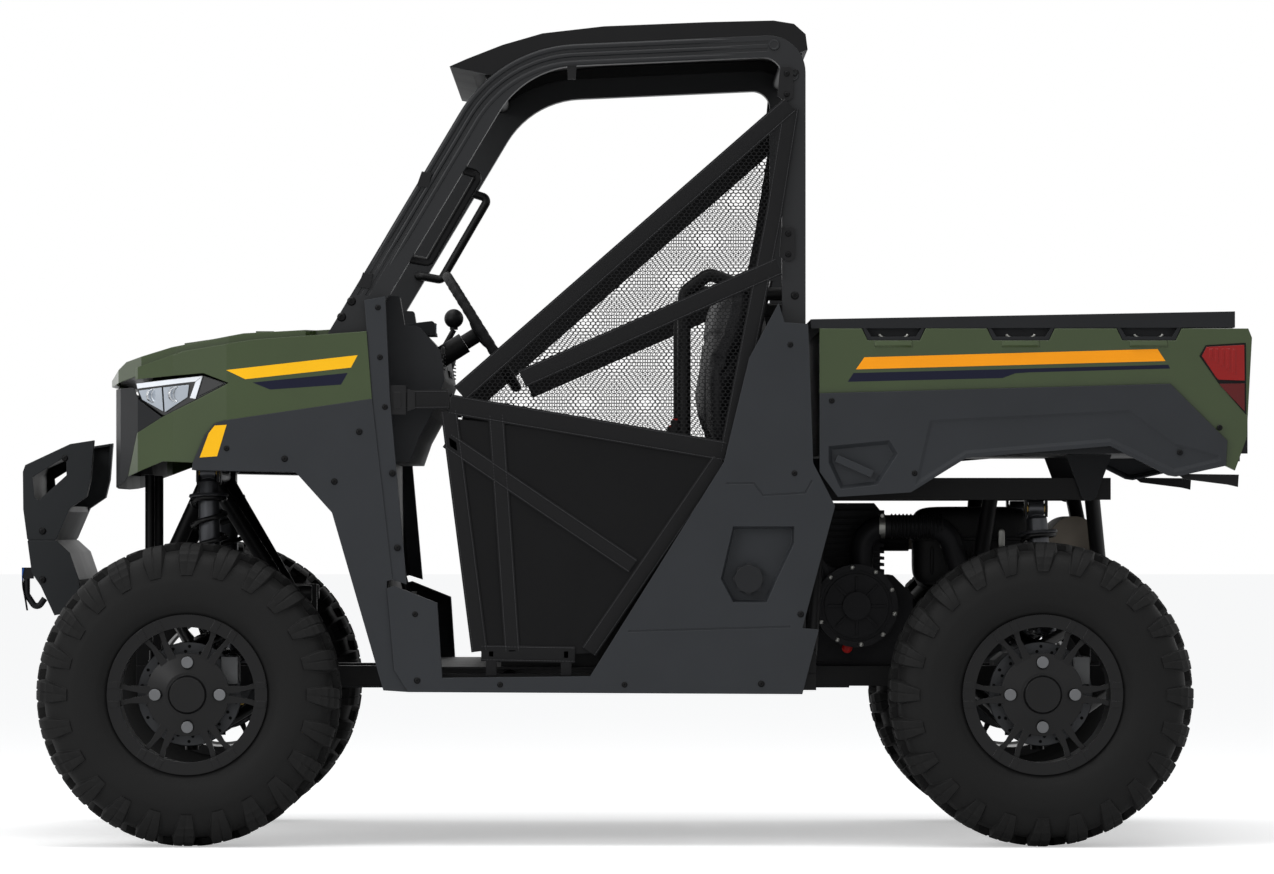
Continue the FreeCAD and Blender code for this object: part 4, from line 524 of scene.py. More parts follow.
# The tail lamps are wedge units at the rear corners of the bed: a black housing, a ribbed red lens
# above and a darker one below, parted by a thin black bar.
lens_red = finish("lens_red", (138, 10, 8), 0.22, grain=90, depth=0.05, mottle=0.08, gloss=0.3)
lens_dark_red = finish("lens_dark_red", (84, 8, 9), 0.22, grain=90, depth=0.05, mottle=0.08, gloss=0.3)
for side, hand in SIDES:
    parts = [slab([(-1403, 1209), (-1500, 1215)], [(-1388, 1183), (-1433, 1119), (-1501, 1041)],
                  724, 697, side, 16),
             (*slab([(-1405, 1205), (-1496, 1210)], [(-1394, 1183), (-1432, 1126), (-1497, 1124)],
                    729, 722, side, 14), 1),
             (*slab([(-1436, 1116), (-1497, 1117)], [(-1440, 1110), (-1497, 1050)],
                    728, 722, side, 10), 2)]
    for k in range(5):
        x = -1412 - 14 * k
        parts.append((*slab([(x, 1200), (x - 7, 1200)], [(x, 1178 - 9 * k), (x - 7, 1176 - 9 * k)],
                            730, 726, side, 4, 3), 1))
    lamp = piece("tail_lamp_" + hand, parts, "bed", [black_grained, lens_red, lens_dark_red])
    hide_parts("tail_lamps")


# The bench is two foam cushions and two backrests under stitched vinyl. Each cover is inflated by
# a cloth run from a form a little too small, and then its seams draw channels into it.

def cushion(name, line, y0, y1, body, channels, seam_axis):
    """A closed side-view outline (x, z) carried from y0 to y1 is remeshed, blown up as cloth, and
    pushed in by 6 mm x exp(-(distance / 6 mm)^2) at each channel (axis, place), on the side that
    faces seam_axis."""
    line = np.asarray(line, float)
    middle = line.mean(0)
    small = middle + (line - middle) * (1 - 9 / np.abs(line - middle).max(0))
    rounds = np.array([0, 8, 22, y1 - y0 - 22, y1 - y0 - 8, y1 - y0]) + y0
    grow = np.array([0.93, 0.985, 1, 1, 0.985, 0.93])[:, None, None]
    ring = middle + (walked(np.concatenate([small, small[:1]]), 61)[:60] - middle) * grow
    cover = capped(xyz(ring[..., 0], rounds[:, None], ring[..., 1]), 6, 60)
    obj = piece(name, [cover], body, seat_vinyl, 180)
    remesh = obj.modifiers.new("even", "REMESH")
    remesh.mode = "VOXEL"
    remesh.voxel_size = 0.008
    bpy.context.view_layer.objects.active = obj
    obj.select_set(True)
    bpy.ops.object.modifier_apply(modifier=remesh.name)
    cloth = obj.modifiers.new("cover", "CLOTH")
    settings = cloth.settings
    settings.use_pressure = True
    settings.uniform_pressure_force = 4.0
    settings.mass = 0.4
    settings.tension_stiffness = settings.compression_stiffness = 40
    settings.shear_stiffness = 20
    settings.bending_stiffness = 2
    settings.effector_weights.gravity = 0
    cloth.point_cache.frame_start, cloth.point_cache.frame_end = 1, 20
    for frame_number in range(1, 21):
        scene.frame_set(frame_number)
    bpy.ops.object.modifier_apply(modifier=cloth.name)
    scene.frame_set(1)
    mesh = obj.data
    spots, normals = np.empty(len(mesh.vertices) * 3), np.empty(len(mesh.vertices) * 3)
    mesh.vertices.foreach_get("co", spots)
    spots = spots.reshape(-1, 3) * 1000
    low = np.array([line[:, 0].min(), y0, line[:, 1].min()])
    high = np.array([line[:, 0].max(), y1, line[:, 1].max()])
    spots = low + (spots - spots.min(0)) * ((high - low) / (spots.max(0) - spots.min(0)))
    mesh.vertices.foreach_get("normal", normals)
    normals = normals.reshape(-1, 3)
    for axis, at in channels:
        depth = 6.0 * np.exp(-((spots[:, axis] - at) / 6.0) ** 2)
        facing = np.clip(normals @ np.asarray(seam_axis, float), 0, 1)
        spots -= normals * (depth * facing)[:, None]
    mesh.vertices.foreach_set("co", (np.clip(spots, low, high) / 1000).ravel())
    mesh.update()
    finer = obj.modifiers.new("smooth", "SUBSURF")
    finer.levels = finer.render_levels = 1
    bpy.ops.object.modifier_apply(modifier=finer.name)
    obj.data.shade_smooth()
    obj.select_set(False)
    return obj


seat_vinyl = finish("seat_vinyl", (34, 34, 36), 0.48, grain=1100, depth=0.45, mottle=0.07, edge_highlight=0.1)
SEAT_LINE = [(-138, 852), (-60, 851), (100, 851), (300, 851), (322, 862), (324, 905), (312, 936),
             (270, 946), (100, 944), (-60, 930), (-120, 924), (-138, 910)]
BACK_LINE = [(-190, 970), (-182, 1060), (-181, 1140), (-196, 1196), (-226, 1252), (-250, 1305),
             (-266, 1362), (-276, 1384), (-300, 1391), (-340, 1389), (-349, 1370), (-322, 1240),
             (-296, 1130), (-268, 1060), (-244, 972)]
# The sides of the near and the far seat, and the places of their seams across the bench
NEAR_SEAT, FAR_SEAT = (129, 584), (-584, 121)
NEAR_SEAMS, FAR_SEAMS = [(1, 225), (1, 488)], [(1, -480), (1, -232), (1, 22)]
UP, FORWARD = (0, 0, 1), (1, 0, 0.2)
near_base = cushion("seat_base_near", SEAT_LINE, *NEAR_SEAT, "chassis", NEAR_SEAMS + [(0, 250)], UP)
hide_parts("seat_base_driver")
far_base = cushion("seat_base_far", SEAT_LINE, *FAR_SEAT, "passenger_seat", FAR_SEAMS + [(0, 250)], UP)
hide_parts("seat_base_passenger")
near_back = cushion("seat_back_near", BACK_LINE, *NEAR_SEAT, "chassis", NEAR_SEAMS + [(2, 1240)], FORWARD)
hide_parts("seat_backs")
cushion("seat_back_far", BACK_LINE, *FAR_SEAT, "chassis", FAR_SEAMS + [(2, 1240)], FORWARD)

# The steering wheel is a steel ring moulded over in rubber, with finger waves behind and three
# flat spokes that meet under a bolted centre pad. It is tilted onto its column.
WHEEL_AT, WHEEL_TILT, WHEEL_R = np.array((351.0, 370.0, 1251.0)), math.radians(32), 160
SPOKE_IN, SPOKE_OUT = 26, 156
wheel_wrap = finish("wheel_wrap", (22, 22, 23), 0.62, grain=1400, depth=0.5, edge=1.0)


def tilted(points):
    """Wheel coordinates (right, up, towards the driver) put onto the tilted column."""
    p = np.asarray(points, float)
    face = np.array((-math.cos(WHEEL_TILT), 0, math.sin(WHEEL_TILT)))
    upward = np.array((math.sin(WHEEL_TILT), 0, math.cos(WHEEL_TILT)))
    return WHEEL_AT + p[:, :1] * (0, 1, 0) + p[:, 1:2] * upward + p[:, 2:] * face


t = np.linspace(0, 2 * np.pi, 180, endpoint=False)
loop = xyz(WHEEL_R * np.cos(t), WHEEL_R * np.sin(t), 0)
wave = 12.4 + 0.9 * np.cos(34 * t) * (np.abs(np.sin(t)) < 0.86)
ring_points, ring_faces = tube(loop, wave, 18, closed=True)
wheel_parts = [(tilted(ring_points), outward(tilted(ring_points), ring_faces))]
for turn in (90, 210, 330):
    way = np.array((math.cos(math.radians(turn)), math.sin(math.radians(turn))))
    reach = np.linspace(SPOKE_IN, SPOKE_OUT, 14)[:, None]
    share = (reach - SPOKE_IN) / (SPOKE_OUT - SPOKE_IN)
    wide = (17 - 7 * np.sin(np.pi * share))[..., None]
    sag = -10 * np.sin(np.pi * share / 2 + math.pi / 2)
    across = np.array([-1, -0.9, 0.9, 1, 0.9, -0.9])[None, :, None]
    tall = np.array([0, 3.5, 3.5, 0, -3.5, -3.5])[None, :]
    flat_part = reach[..., None] * way + across * wide * (-way[1], way[0])
    spoke = np.concatenate([flat_part, (sag + tall)[..., None]], -1).reshape(-1, 3)
    wheel_parts.append(capped(tilted(spoke), 14, 6))
centre, before = tilted([(0, 0, 0), (0, 0, 1)])
pad = [(0, 12), (28, 11), (40, 7), (46, 0), (46, -10), (30, -16), (19, -18), (19, -50), (0, -50)]
wheel_parts.append((*turned(centre, before, pad, 48), 1))
for turn in range(6):
    spot = tilted([(33 * math.cos(turn * math.pi / 3), 33 * math.sin(turn * math.pi / 3), 9)])[0]
    wheel_parts.append((*turned(spot, spot + before - centre,
                                [(0, 3), (3, 2.6), (4, 0), (4, -3), (0, -3)], 14), 2))
wheel = piece("steering_wheel_grip", wheel_parts, "steering_wheel",
              [wheel_wrap, black_grained, hub_steel])
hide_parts("steering_wheel")

# Each side of the cab is closed by a net in place of a door: a webbing frame, an open mesh above
# and folded black cloth below, pulled tight between the posts, the sill and a front buckle.
NET_FACE = 719.5
net_webbing = finish("net_webbing", (24, 24, 25), 0.8, grain=1500, depth=0.9, mottle=0.08, edge=0.4,
                     edge_highlight=0.1)
net_mesh = finish("net_mesh", (20, 20, 21), 0.7, grain=900, depth=0.3, edge=0.2, edge_highlight=0.0)
net_cloth = finish("net_cloth", (16, 16, 17), 0.82, grain=1300, depth=0.5, edge=0.4, edge_highlight=0.05)
thread = finish("thread", (70, 70, 72), 0.7, grain=900, depth=0.3, edge=0.2)
buckle_black = finish("buckle_black", (26, 26, 27), 0.4, grain=600)


def square_to(line):
    """The unit vectors square to a side-view line at its points."""
    ahead = np.gradient(line, axis=0)
    ahead /= np.linalg.norm(ahead, axis=1, keepdims=True)
    return np.stack([-ahead[:, 1], ahead[:, 0]], -1)


def strap(line, width, side, y=NET_FACE, thick=1.8, count=40):
    """A flat band along a side-view line: its middle swells by a quarter of the thickness."""
    p = walked(line, count)
    across = np.array([-1, -0.96, -0.4, 0.4, 0.96, 1, 0.96, -0.96])[None, :, None]
    swell = np.array([0, 0.8, 1.25, 1.25, 0.8, 0, -1, -1])[None, :] * thick / 2
    flat_part = p[:, None] + across * square_to(p)[:, None] * width / 2
    return capped(xyz(flat_part[..., 0], side * (y + swell), flat_part[..., 1]), count, 8)


def stitches(line, width, side, y):
    """Two rows of thread, 4 mm inside the edges of a band, as tubes that dip below its face."""
    length = np.linalg.norm(np.diff(np.asarray(line, float), axis=0), axis=1).sum()
    p = walked(line, max(12, int(length / 2.4)))
    dip = np.where(np.arange(len(p)) % 3 == 2, -0.9, 0.25)
    rows = []
    for edge in (-1, 1):
        q = p + edge * square_to(p) * (width / 2 - 4)
        rows.append(tube(xyz(q[:, 0], side * (y + dip), q[:, 1]), 0.5, 4, up=(0, 1, 0)))
    return rows


def within(points, corners):
    """Which points lie inside a polygon: those from which a ray to the right crosses it an odd
    number of times."""
    x, z = points[..., 0], points[..., 1]
    inside = np.zeros(x.shape, bool)
    for (x0, z0), (x1, z1) in zip(corners, np.roll(corners, -1, 0)):
        crosses = (z0 > z) != (z1 > z)
        inside ^= crosses & (x < (x1 - x0) * (z - z0) / (z1 - z0 + 1e-12) + x0)
    return inside


# The field of the mesh, the upper and lower line of the cloth, and the bands with their widths
UPPER_FIELD = np.array([(405, 1078), (300, 1160), (-395, 1775), (-362, 1530), (-252, 958),
                        (426, 1046)], float)
LOWER_FIELD = [[(424, 1034), (344, 452)], [(-228, 956), (78, 466)]]
NET_LINES = [([(545, 1078), (424, 1079)], 46), ([(421, 1067), (-244, 953)], 48),
             ([(397, 1093), (-400, 1790)], 44), ([(-250, 950), (-362, 1530), (-402, 1782)], 40),
             ([(424, 1050), (350, 470)], 40), ([(-230, 932), (86, 470)], 40),
             ([(346, 466), (120, 462)], 40), ([(428, 980), (-20, 676)], 40),
             ([(247, 1128), (-372, 1400)], 44), ([(310, 1040), (271, 470)], 38)]
CELL_X, CELL_Z = 12.5, 8.2
for side, hand in SIDES:
    i, j = np.meshgrid(np.arange(-70, 75), np.arange(0, 110))
    centres = np.stack([i * CELL_X + (j % 2) * CELL_X / 2, 950 + j * CELL_Z], -1).reshape(-1, 2)
    centres = centres[within(centres, UPPER_FIELD)]
    a = np.arange(6) * np.pi / 3 + np.pi / 6
    hexagon = np.stack([np.cos(a) * CELL_X / 2 * 1.155, np.sin(a) * CELL_Z / 1.5], -1)
    cell = centres[:, None, None] + np.stack([hexagon, hexagon * 0.84])[None]
    outer, inner = side * (NET_FACE + np.array([0.45, -0.45]))
    front = xyz(cell[..., 0], outer, cell[..., 1])
    points = np.stack([front, front - (0, outer - inner, 0)], 1).reshape(-1, 3)
    k, after = np.arange(6), (np.arange(6) + 1) % 6
    quads = np.concatenate([np.stack([k, after, 6 + after, 6 + k], -1),
                            np.stack([12 + k, 18 + k, 18 + after, 12 + after], -1),
                            np.stack([6 + k, 6 + after, 18 + after, 18 + k], -1)])
    quads = quads if side > 0 else quads[:, ::-1]
    faces = (np.arange(len(centres))[:, None, None] * 24 + quads[None]).reshape(-1, 4)
    mesh_field = piece("net_mesh_" + hand, [(points, faces)], "chassis", net_mesh)
    s, u = np.linspace(0, 1, 60)[:, None], np.linspace(0, 1, 70)[None, :]
    top_line, low_line = (walked(line, 60)[:, None] for line in LOWER_FIELD)
    flat = top_line * (1 - u[..., None]) + low_line * u[..., None]
    folds = (2.6 * np.sin(9 * u + 5 * s) * np.sin(np.pi * u) * np.sin(np.pi * s)
             + 1.3 * np.sin(23 * u - 8 * s) * np.sin(np.pi * u))
    near = xyz(flat[..., 0], side * (NET_FACE - 2.4 + 0.5 * folds), flat[..., 1])
    cloth = capped(np.concatenate([near, (near - (0, side * 1.2, 0))[:, ::-1]], 1), 60, 140)
    cloth_field = piece("net_cloth_" + hand, [cloth], "chassis", net_cloth, 60)
    bands, threads = [], []
    for number, (line, width) in enumerate(NET_LINES):
        lift = NET_FACE + 0.35 * (number % 3)
        bands.append(strap(line, width, side, lift))
        threads += [(*row, 1) for row in stitches(line, width, side, lift + 1.1)]
    bands += [strap([(x, 470), (x, 412)], 26, side) for x in (322, 141)]
    frame_webbing = piece("net_webbing_" + hand, bands + threads, "chassis", [net_webbing, thread],
                          40)
    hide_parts("side_nets")
    clasp = [slab([(566, 1112), (528, 1112)], [(566, 1042), (528, 1042)], 724, 716, side, 12, 8),
             slab([(524, 1104), (506, 1098)], [(524, 1050), (506, 1056)], 723, 717, side, 8, 6),
             slab([(558, 1096), (540, 1096)], [(558, 1058), (540, 1058)], 726, 723, side, 8, 6)]
    buckle = piece("net_buckle_" + hand, clasp, "chassis", [buckle_black])

# The dash carries a small screen under its hood, a row of rocker switches, a glove box door and
# round vents. They are separate mouldings clipped into the soft-grained dash.
# The screen's pale blue colour is a painted reflection.
screen_painted_reflection = finish("screen_painted_reflection", (64, 104, 140), 0.08, grain=40, depth=0.02, mottle=0.2, coat=1.0,
                      gloss=0.6)
VENT = [(0, 0), (30, 0), (36, -4), (38, -10), (34, -12), (0, -12)]
dash_parts = [slab([(463, 1271), (469, 1271)], [(463, 1243), (469, 1243)], 418, 322, 1, 4, 4),
              (*slab([(461.5, 1267), (464.5, 1267)], [(461.5, 1247), (464.5, 1247)], 411, 329, 1, 4, 4), 1)]
for k in range(6):
    y = 44 * k - 130
    dash_parts.append((*slab([(441, 1166), (447, 1168)], [(437, 1138), (443, 1136)], y + 30, y, 1, 4, 6), 2))
    dash_parts.append(slab([(436, 1160), (441, 1161)], [(434, 1146), (439, 1145)], y + 26, y + 4, 1, 4, 6))
for y in (-560, 560):
    dash_parts.append((*turned((446, y, 1172), (430, y, 1166), VENT, 36), 2))
    for z in range(1152, 1189, 9):
        dash_parts.append(slab([(436, z + 3), (446, z + 5)], [(436, z), (446, z + 2)],
                               y + 26, y - 26, 1, 4, 4))
dash_parts.append(slab([(444, 1126), (446, 1126)], [(476, 1040), (478, 1040)], -190, -500, 1, 3, 14))
dash_parts.append((*slab([(440, 1112), (446, 1112)], [(443, 1102), (449, 1102)], -320, -370, 1, 3, 4), 2))
piece("dash_fittings", dash_parts, "chassis", [black_grained, screen_painted_reflection, buckle_black])


# Button-head screws hold the panels, the posts and the bumper. They are zinc plated or painted
# black, with a hexagon socket sunk in the head.

def screws(spots):
    """Button heads on side faces, (x, z, y, head radius, side): each a dome with a sunk socket."""
    made = []
    for x, z, y, r, side in spots:
        dome = [(0, 0.15 * r), (0.42 * r, 0.15 * r), (0.46 * r, 0.5 * r), (0.75 * r, 0.4 * r),
                (r, 0.1 * r), (r, -1.2), (0, -1.2)]
        made.append(turned((x, side * y, z), (x, side * (y + 1), z), dome, 24))
    return made


zinc = finish("zinc", (150, 150, 146), 0.36, metal=0.85, grain=700, depth=0.15, edge=0.6)
screw_black = finish("screw_black", (14, 14, 15), 0.38, metal=0.2, grain=700, depth=0.15, edge=0.6)
CAGE_FACE, SILL_SKIN, BUMPER_FACE = 700, 741, 350
FIXED_SCREWS = [(660, 1316, CAGE_FACE, 11), (684, 1278, CAGE_FACE, 11), (-412, 1868, CAGE_FACE, 10),
                (-412, 1330, CAGE_FACE, 10), (595, 1300, 732, 7), (590, 1180, 732, 7),
                (578, 1060, 732, 7), (560, 900, NOSE_SKIN, 8), (548, 720, NOSE_SKIN, 8),
                (820, 935, NOSE_SKIN, 8), (960, 960, NOSE_SKIN, 7), (700, 880, NOSE_SKIN, 8),
                (640, 1000, NOSE_SKIN, 8), (500, 400, SILL_SKIN, 8), (505, 560, SILL_SKIN, 7),
                (300, 390, SILL_SKIN, 7), (0, 390, SILL_SKIN, 7), (-330, 392, SILL_SKIN, 8),
                (-425, 560, SILL_SKIN, 8), (-410, 900, SILL_SKIN, 7), (-400, 1210, SILL_SKIN, 7),
                (1435, 760, BUMPER_FACE, 9), (1435, 640, BUMPER_FACE, 9), (1380, 940, BUMPER_FACE, 8)]
SKIRT_FACE = 735
BED_SCREWS = [(x, z, SKIRT_FACE, 7) for x, z in ((-500, 1075), (-1436, 1010), (-1340, 950), (-700, 900))]
for name, spots, body in (("side_screws", FIXED_SCREWS, "chassis"), ("bed_screws", BED_SCREWS, "bed")):
    piece(name, screws([(*spot, side) for side in (1, -1) for spot in spots]), body,
          [screw_black])

# The windscreen posts carry two rounded latch brackets, and the rear posts one each at the top and
# the middle, where the net's hooks engage. One more sits under the near roof rail.
brackets = [slab([(139, 1895), (115, 1897)], [(137, 1853), (118, 1853)], 698, 688, 1, 6, 4)]
for side in (1, -1):
    for x, z in ((-392, 1842), (-396, 1455)):
        brackets.append(slab([(x - 16, z + 34), (x - 6, z + 42), (x + 16, z + 40)],
                             [(x - 16, z - 34), (x, z - 44), (x + 22, z - 30)],
                             CAGE_FACE + 8, CAGE_FACE - 1, side, 12, 6))
        for up in (24, -26):
            brackets += [(*part, 1) for part in screws([(x, z + up, CAGE_FACE + 8, 7, side)])]
    for x, z in ((628, 1366), (486, 1610)):
        brackets.append(slab([(x - 20, z + 16), (x + 4, z + 20)], [(x - 12, z - 20), (x + 16, z - 14)],
                             CAGE_FACE + 6, CAGE_FACE - 1, side, 8, 6))
piece("post_brackets", brackets, "chassis", [buckle_black, screw_black])

# Rolled beads run up the windscreen posts and along the roof rails between the pressed grooves, and
# two round plugs close the bolt holes at each rear corner.
CAGE_BEND_R = 340
foot, bend, rear = np.array([(757, 1172), (304, 1930), (-438, 1963)], float)
up_post, along_rail = ((b - a) / np.linalg.norm(b - a) for a, b in ((foot, bend), (bend, rear)))
into_cab = np.array([-up_post[1], up_post[0]])
turn = math.acos(up_post @ along_rail)
centre = bend - up_post * CAGE_BEND_R * math.tan(turn / 2) + into_cab * CAGE_BEND_R
arc = np.linspace(0, turn, 40)[:, None]
fade = np.clip(8 * np.minimum(np.linspace(0, 1, 120), np.linspace(1, 0, 120)), 0.05, 1)
PLUG = [(0, 2.2), (8.5, 2.2), (9.5, 3.6), (12.5, 3.4), (14, 0.6), (14, -1), (0, -1)]
beads = []
for side in (1, -1):
    for reach, size in ((6.5, 7), (25.5, 6), (45, 7)):
        bent = centre + (CAGE_BEND_R - reach) * (up_post * np.sin(arc) - into_cab * np.cos(arc))
        low = bent[0] - up_post * (bent[0][1] - 1335) / up_post[1]
        back = bent[-1] + along_rail * (bent[-1][0] + 345)
        line = walked(np.concatenate([[low], bent, [back]]), 120)
        at = xyz(line[:, 0], side * (CAGE_FACE + 3.6 - size), line[:, 1])
        beads.append(tube(at, size * fade, 16, up=(0, 1, 0)))
    for x, z in ((-362, 1936), (-408, 1862)):
        beads.append(turned((x, side * CAGE_FACE, z), (x, side * (CAGE_FACE + 1), z), PLUG, 28))
piece("cage_beads", beads, "chassis", [cage_coat], 40)

# The belt-drive housing: ten screws round the cover, a red drain plug below it, and a steel
# worm-drive clamp that holds the ribbed air duct.
drain_red = finish("drain_red", (176, 26, 22), 0.35, depth=0.1, edge=0.8)
COVER_X, COVER_Z, COVER_SCREW_R = -575, 575, 96
DUCT_Y, DUCT_Z = 235, 772
ring = [2 * np.pi * k / 10 + 0.2 for k in range(10)]
drive_bits = screws([(COVER_X + COVER_SCREW_R * math.cos(a), COVER_Z + COVER_SCREW_R * math.sin(a),
                      300, 6, 1) for a in ring])
plug = [(0, 0), (10, 0), (10, 8), (13, 10), (13, 16), (7, 20), (0, 20)]
drive_bits.append((*turned((-553, 236, 470), (-553, 262, 470), plug, 12), 1))
clamp = [(28.4, -7), (30, -7.5), (30, 7.5), (28.4, 7)]
drive_bits.append(turned((-640, DUCT_Y, DUCT_Z), (-660, DUCT_Y, DUCT_Z), clamp, 48))
clamp_screw = [(0, -9), (5, -9), (5, 9), (0, 9)]
drive_bits.append(turned((-640, 252, DUCT_Z + 26), (-640, 222, DUCT_Z + 26), clamp_screw, 6))
for k in range(14):
    x = -664 - 9.5 * k
    drive_bits.append((*turned((x, DUCT_Y, DUCT_Z), (x - 1, DUCT_Y, DUCT_Z),
                               [(28, -3), (31, -1), (31, 1), (28, 3)]), 2))
piece("belt_drive_fittings", drive_bits, "chassis", [zinc, drain_red, black_grained])

# The winch hook wears a short pull strap: doubled webbing with a blue top, sewn at the eye. It
# hangs down in front of the bumper, and nothing of it passes the foremost point of the vehicle.
strap_blue = finish("strap_blue", (40, 92, 170), 0.7, grain=1400, depth=0.8, edge=0.4)
FOREMOST_X = 1514.5
pull = walked([(1510, 668), (1515, 645), (1512, 616), (1506, 585), (1502, 560)], 24)
hook_strap = []
for width, thick, stop, kind in ((24, 3.0, 24, 0), (25, 3.6, 8, 1)):
    p = pull[:stop]
    across = np.array([-1, -0.94, 0.94, 1, 0.94, -0.94])[None, :]
    tall = np.array([0, 1, 1, 0, -1, -1])[None, :] * thick / 2
    points = xyz(np.minimum(p[:, :1] + tall, FOREMOST_X), across * width / 2, p[:, 1:])
    hook_strap.append((*capped(points, stop, 6), kind))
piece("winch_pull_strap", hook_strap, "chassis", [net_webbing, strap_blue], 40)

# A stamped mesh of slanted slats closes the front opening in front of the radiator core, whose
# fins show as fine upright lines.
slats = [slab([(1238, z + 3), (1250, z)], [(1238, z + 1), (1250, z - 2)], 322, -322, 1, 3, 10)
         for z in range(915, 1070, 14)]
slats += [(*slab([(1196.5, 1068), (1200, 1068)], [(1196.5, 902), (1200, 902)],
                 y + 1.5, y - 1.5, 1, 3, 3), 1) for y in range(-270, 271, 12)]
piece("grille_slats", slats, "chassis", [charcoal_grained, fin_black])

# A moulded rubber seal leads from the edge of the grille opening back to the radiator core, so that
# no air passes beside it.
corners = np.array([[1, 1], [-1, 1], [-1, 0], [1, 0]])
# (x, half width, lower edge, upper edge) of its four rings: inner rear and front, outer front and rear
SEAL_RINGS = ((1197, 281.5, 898.5, 1071.5), (1245, 328, 903, 1087), (1245, 331, 900, 1090),
              (1197, 284.5, 895.5, 1074.5))
seal = np.concatenate([xyz(x, corners[:, 0] * half, low + corners[:, 1] * (high - low))
                       for x, half, low, high in SEAL_RINGS])
piece("radiator_seal", [(seal, outward(seal, lattice(4, 4, True, True)))], "chassis", black_grained)

# The brake discs are drilled steel rings on the hubs of all four wheels. The drillings run in
# curved rows of three; they are not cut, each is a thin near-black disc on the disc face, painted shade
# where a hole shows between the spokes.
disc_steel = finish("disc_steel", (66, 67, 69), 0.42, metal=0.8, grain=900, edge=0.5)
# A near-black finish: painted shade in place of the drilled holes.
painted_hole_shade = finish("painted_hole_shade", (6, 6, 6), 0.8, grain=300, depth=0.1, edge=0.2, edge_highlight=0.0)
DISC_Y, SHADE_DOT_Y = 705, 711.2
DISC = [(80, -1.5), (124.5, -1.5), (126, 0), (126, 5), (124.5, 6.3), (80, 6.3)]
SHADE_DOT = [(0, 0.25), (3.9, 0.25), (4.2, -0.4), (0, -0.4)]
for x, end in ((FRONT_AXLE_X, "front_"), (REAR_AXLE_X, "rear_")):
    for side, hand in SIDES:
        rotor = [turned((x, side * DISC_Y, TYRE_RADIUS), (x, side * (DISC_Y + 1), TYRE_RADIUS), DISC, 72)]
        for k in range(18):
            for row, r in enumerate((91, 103, 115)):
                a = 2 * np.pi * k / 18 + 0.09 * row
                spot = (x + r * math.cos(a), side * SHADE_DOT_Y, TYRE_RADIUS + r * math.sin(a))
                # Each drilling is a thin disc of painted shade, not a hole.
                rotor.append((*turned(spot, (spot[0], spot[1] + side, spot[2]), SHADE_DOT, 12), 1))
        piece("brake_rotor_" + end + hand, rotor, "wheel_" + end + hand, [disc_steel, painted_hole_shade])

# Small flaps of black plate close the bed sides behind the rear wheels, and the seat belts are
# anchored beside the cushions by stalks with red release buttons.
flaps = [slab([(-1336, 899), (-1484, 897)], [(-1352, 886), (-1462, 872), (-1482, 867)], 716, 700, side, 12)
         for side in (1, -1)]
piece("bed_flaps", flaps, "bed", [black_grained])
STALK_Y = 592
for side, hand in SIDES:
    stalk = [slab([(-112, 1030), (-138, 1030)], [(-118, 968), (-140, 968)],
                  STALK_Y + 9, STALK_Y - 9, side, 8, 6),
             (*slab([(-116, 1034), (-134, 1034)], [(-115, 1026), (-135, 1026)],
                    STALK_Y + 5, STALK_Y - 5, side, 6), 1),
             slab([(-122, 970), (-136, 970)], [(-150, 884), (-164, 884)],
                  STALK_Y + 3, STALK_Y - 3, side, 8)]
    piece("belt_buckle_" + hand, stalk, "chassis", [buckle_black, drain_red])


# The air filter box fills the room between the engine and the rear axle: a blow-moulded case in two
# halves, with a flanged seam, moulded ribs and steel clips.

def swollen_box(centre, half, square, rows=26, columns=56):
    """A box with swollen sides: x, y and z go as cos v cos u, cos v sin u and sin v, each raised to
    the power `square` with its sign kept, so that 1 gives a ball and 0 a box."""
    v = np.linspace(-np.pi / 2 + 0.04, np.pi / 2 - 0.04, rows)[:, None]
    u = np.linspace(0, 2 * np.pi, columns, endpoint=False)[None, :]

    def shaped(value):
        return np.sign(value) * np.abs(value) ** square

    ball = xyz(shaped(np.cos(v)) * shaped(np.cos(u)), shaped(np.cos(v)) * shaped(np.sin(u)),
               shaped(np.sin(v)))
    return capped(ball * half + centre, rows, columns)


case_black = finish("case_black", (14, 14, 15), 0.5, grain=260, depth=0.3, mottle=0.08)
BOX_AT, BOX_HALF = np.array([-866.0, 116.0, 723.0]), np.array([146.0, 82.0, 98.0])
air_box = [swollen_box(BOX_AT, BOX_HALF, 0.3),
           swollen_box(BOX_AT + (0, 0, 18), BOX_HALF * (1.03, 1.05, 0.05), 0.25, 10)]
for x in (-100, -50, 0, 50, 100):
    air_box.append(swollen_box(BOX_AT + (x, 0, -34), BOX_HALF * (0.04, 1.03, 0.5), 0.4, 10, 24))
for x in (-72, 72):
    air_box.append((*swollen_box(BOX_AT + (x, 87, 18), np.array([9.0, 3.5, 24.0]), 0.5, 10, 20), 1))
piece("air_box", air_box, "chassis", [case_black, zinc], 40)


# The roof, the bed floor and the tailgate are stiffened by pressed ribs, as deep-drawn and moulded
# panels are. The tailgate also has its pull handle in a dished plate.

def ridge(line, y0, y1, height, slope=6.0, count=20):
    """A rib along a side-view line: its section runs y0, y0 + slope, y1 - slope, y1, with the two
    middle points raised by `height`, which fades out over the first and last twelfth."""
    p = walked(line, count)
    fade = np.clip(12 * np.minimum(np.linspace(0, 1, count), np.linspace(1, 0, count)), 0, 1)
    y = np.array([y0, y0 + slope, y1 - slope, y1, y1, y0])[None, :]
    rise = np.array([0.2, 1, 1, 0.2, 0, 0])[None, :] * height * fade[:, None]
    rise = rise + np.array([0, 0, 0, 0, -1, -1]) * 2.0
    return capped(xyz(p[:, :1], y, p[:, 1:] + rise), count, 6)


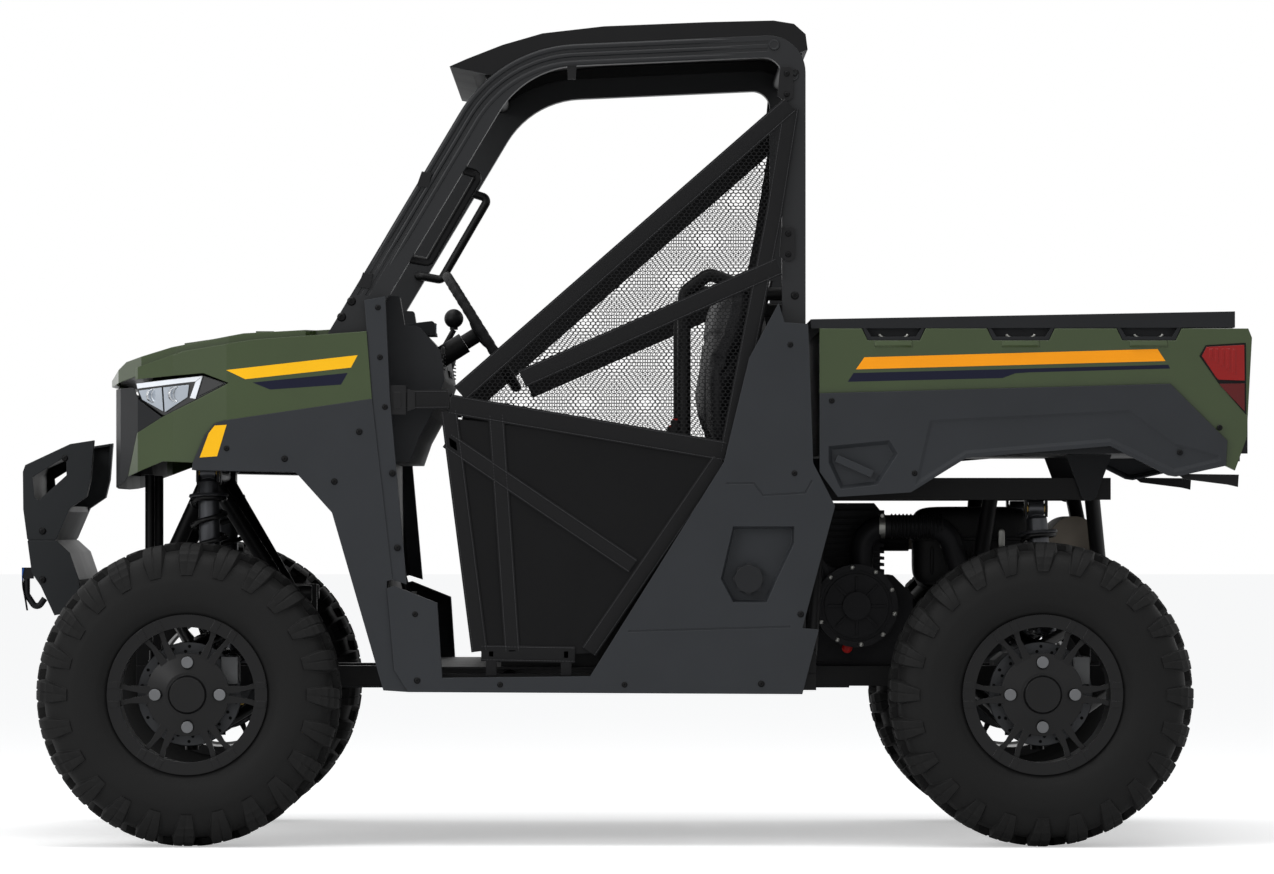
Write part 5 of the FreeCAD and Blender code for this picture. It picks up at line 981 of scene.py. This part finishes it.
ROOF_LINE = [(236, 1953), (198, 1964), (50, 1981), (-190, 1990.6)]
piece("roof_ribs", [ridge(ROOF_LINE, y - 26, y + 26, 4) for y in range(-480, 481, 160)], "chassis",
      [black_grained])
BED_LINE = [(-1462, 960), (-496, 960)]
piece("bed_floor_ribs", [ridge(BED_LINE, y - 30, y + 30, 4, 8, 12) for y in range(-600, 601, 100)], "bed",
      [charcoal_grained])
gate = [slab([(-1505, 1196), (-1509, 1196)], [(-1503, 1000), (-1507, 1000)], y1, y0, 1, 3, 12)
        for y0, y1 in ((-600, -330), (-290, -110), (110, 290), (330, 600))]
gate.append(slab([(-1504, 1206), (-1510, 1204)], [(-1504, 1120), (-1508, 1124)], 88, -88, 1, 3, 10))
gate.append((*slab([(-1509, 1180), (-1513, 1178)], [(-1509, 1158), (-1513, 1160)], 62, -62, 1, 3, 8), 1))
gate += [slab([(-1485, 1206), (-1480.8, 1201)], [(-1485, 982), (-1480.8, 987)], y + 30, y - 30, 1, 3, 12)
         for y in range(-600, 601, 100)]
gate.append(ridge([(-1484, 1246.4), (-1508, 1246.4)], -640, 640, 1.6, 10, 8))
piece("tailgate_pressings", gate, "tailgate", [charcoal_grained, buckle_black])

# Each bed side has three pockets near its top edge. A bent wire loop for tying loads crosses each
# of them, and below it the moulded skin steps out to a short sloping ledge.
POCKETS_X = (-650, -957, -1266)
arc = np.linspace(0, math.pi, 14)
section = np.array([(0.4, 1220), (6, 1209), (0.4, 1204), (-2, 1204), (-2, 1220)])
hooks, ledges = [], []
for side in (1, -1):
    for x in POCKETS_X:
        loop = xyz(x + 34 * np.cos(arc), side * 712, 1236 - 12 * np.sin(arc))
        hooks.append(tube(loop, 3.6, 8, up=(0, 1, 0)))
        along = x + np.array([[46], [40], [-40], [-46]])
        out = section[:, 0] * np.array([[0.1], [1], [1], [0.1]])
        ledges.append(capped(xyz(along, side * (BED_SKIN + out), section[:, 1]), 4, 5))
piece("tie_down_loops", hooks, "bed", [zinc], 40)
piece("pocket_ledges", ledges, "bed", [green_gloss])
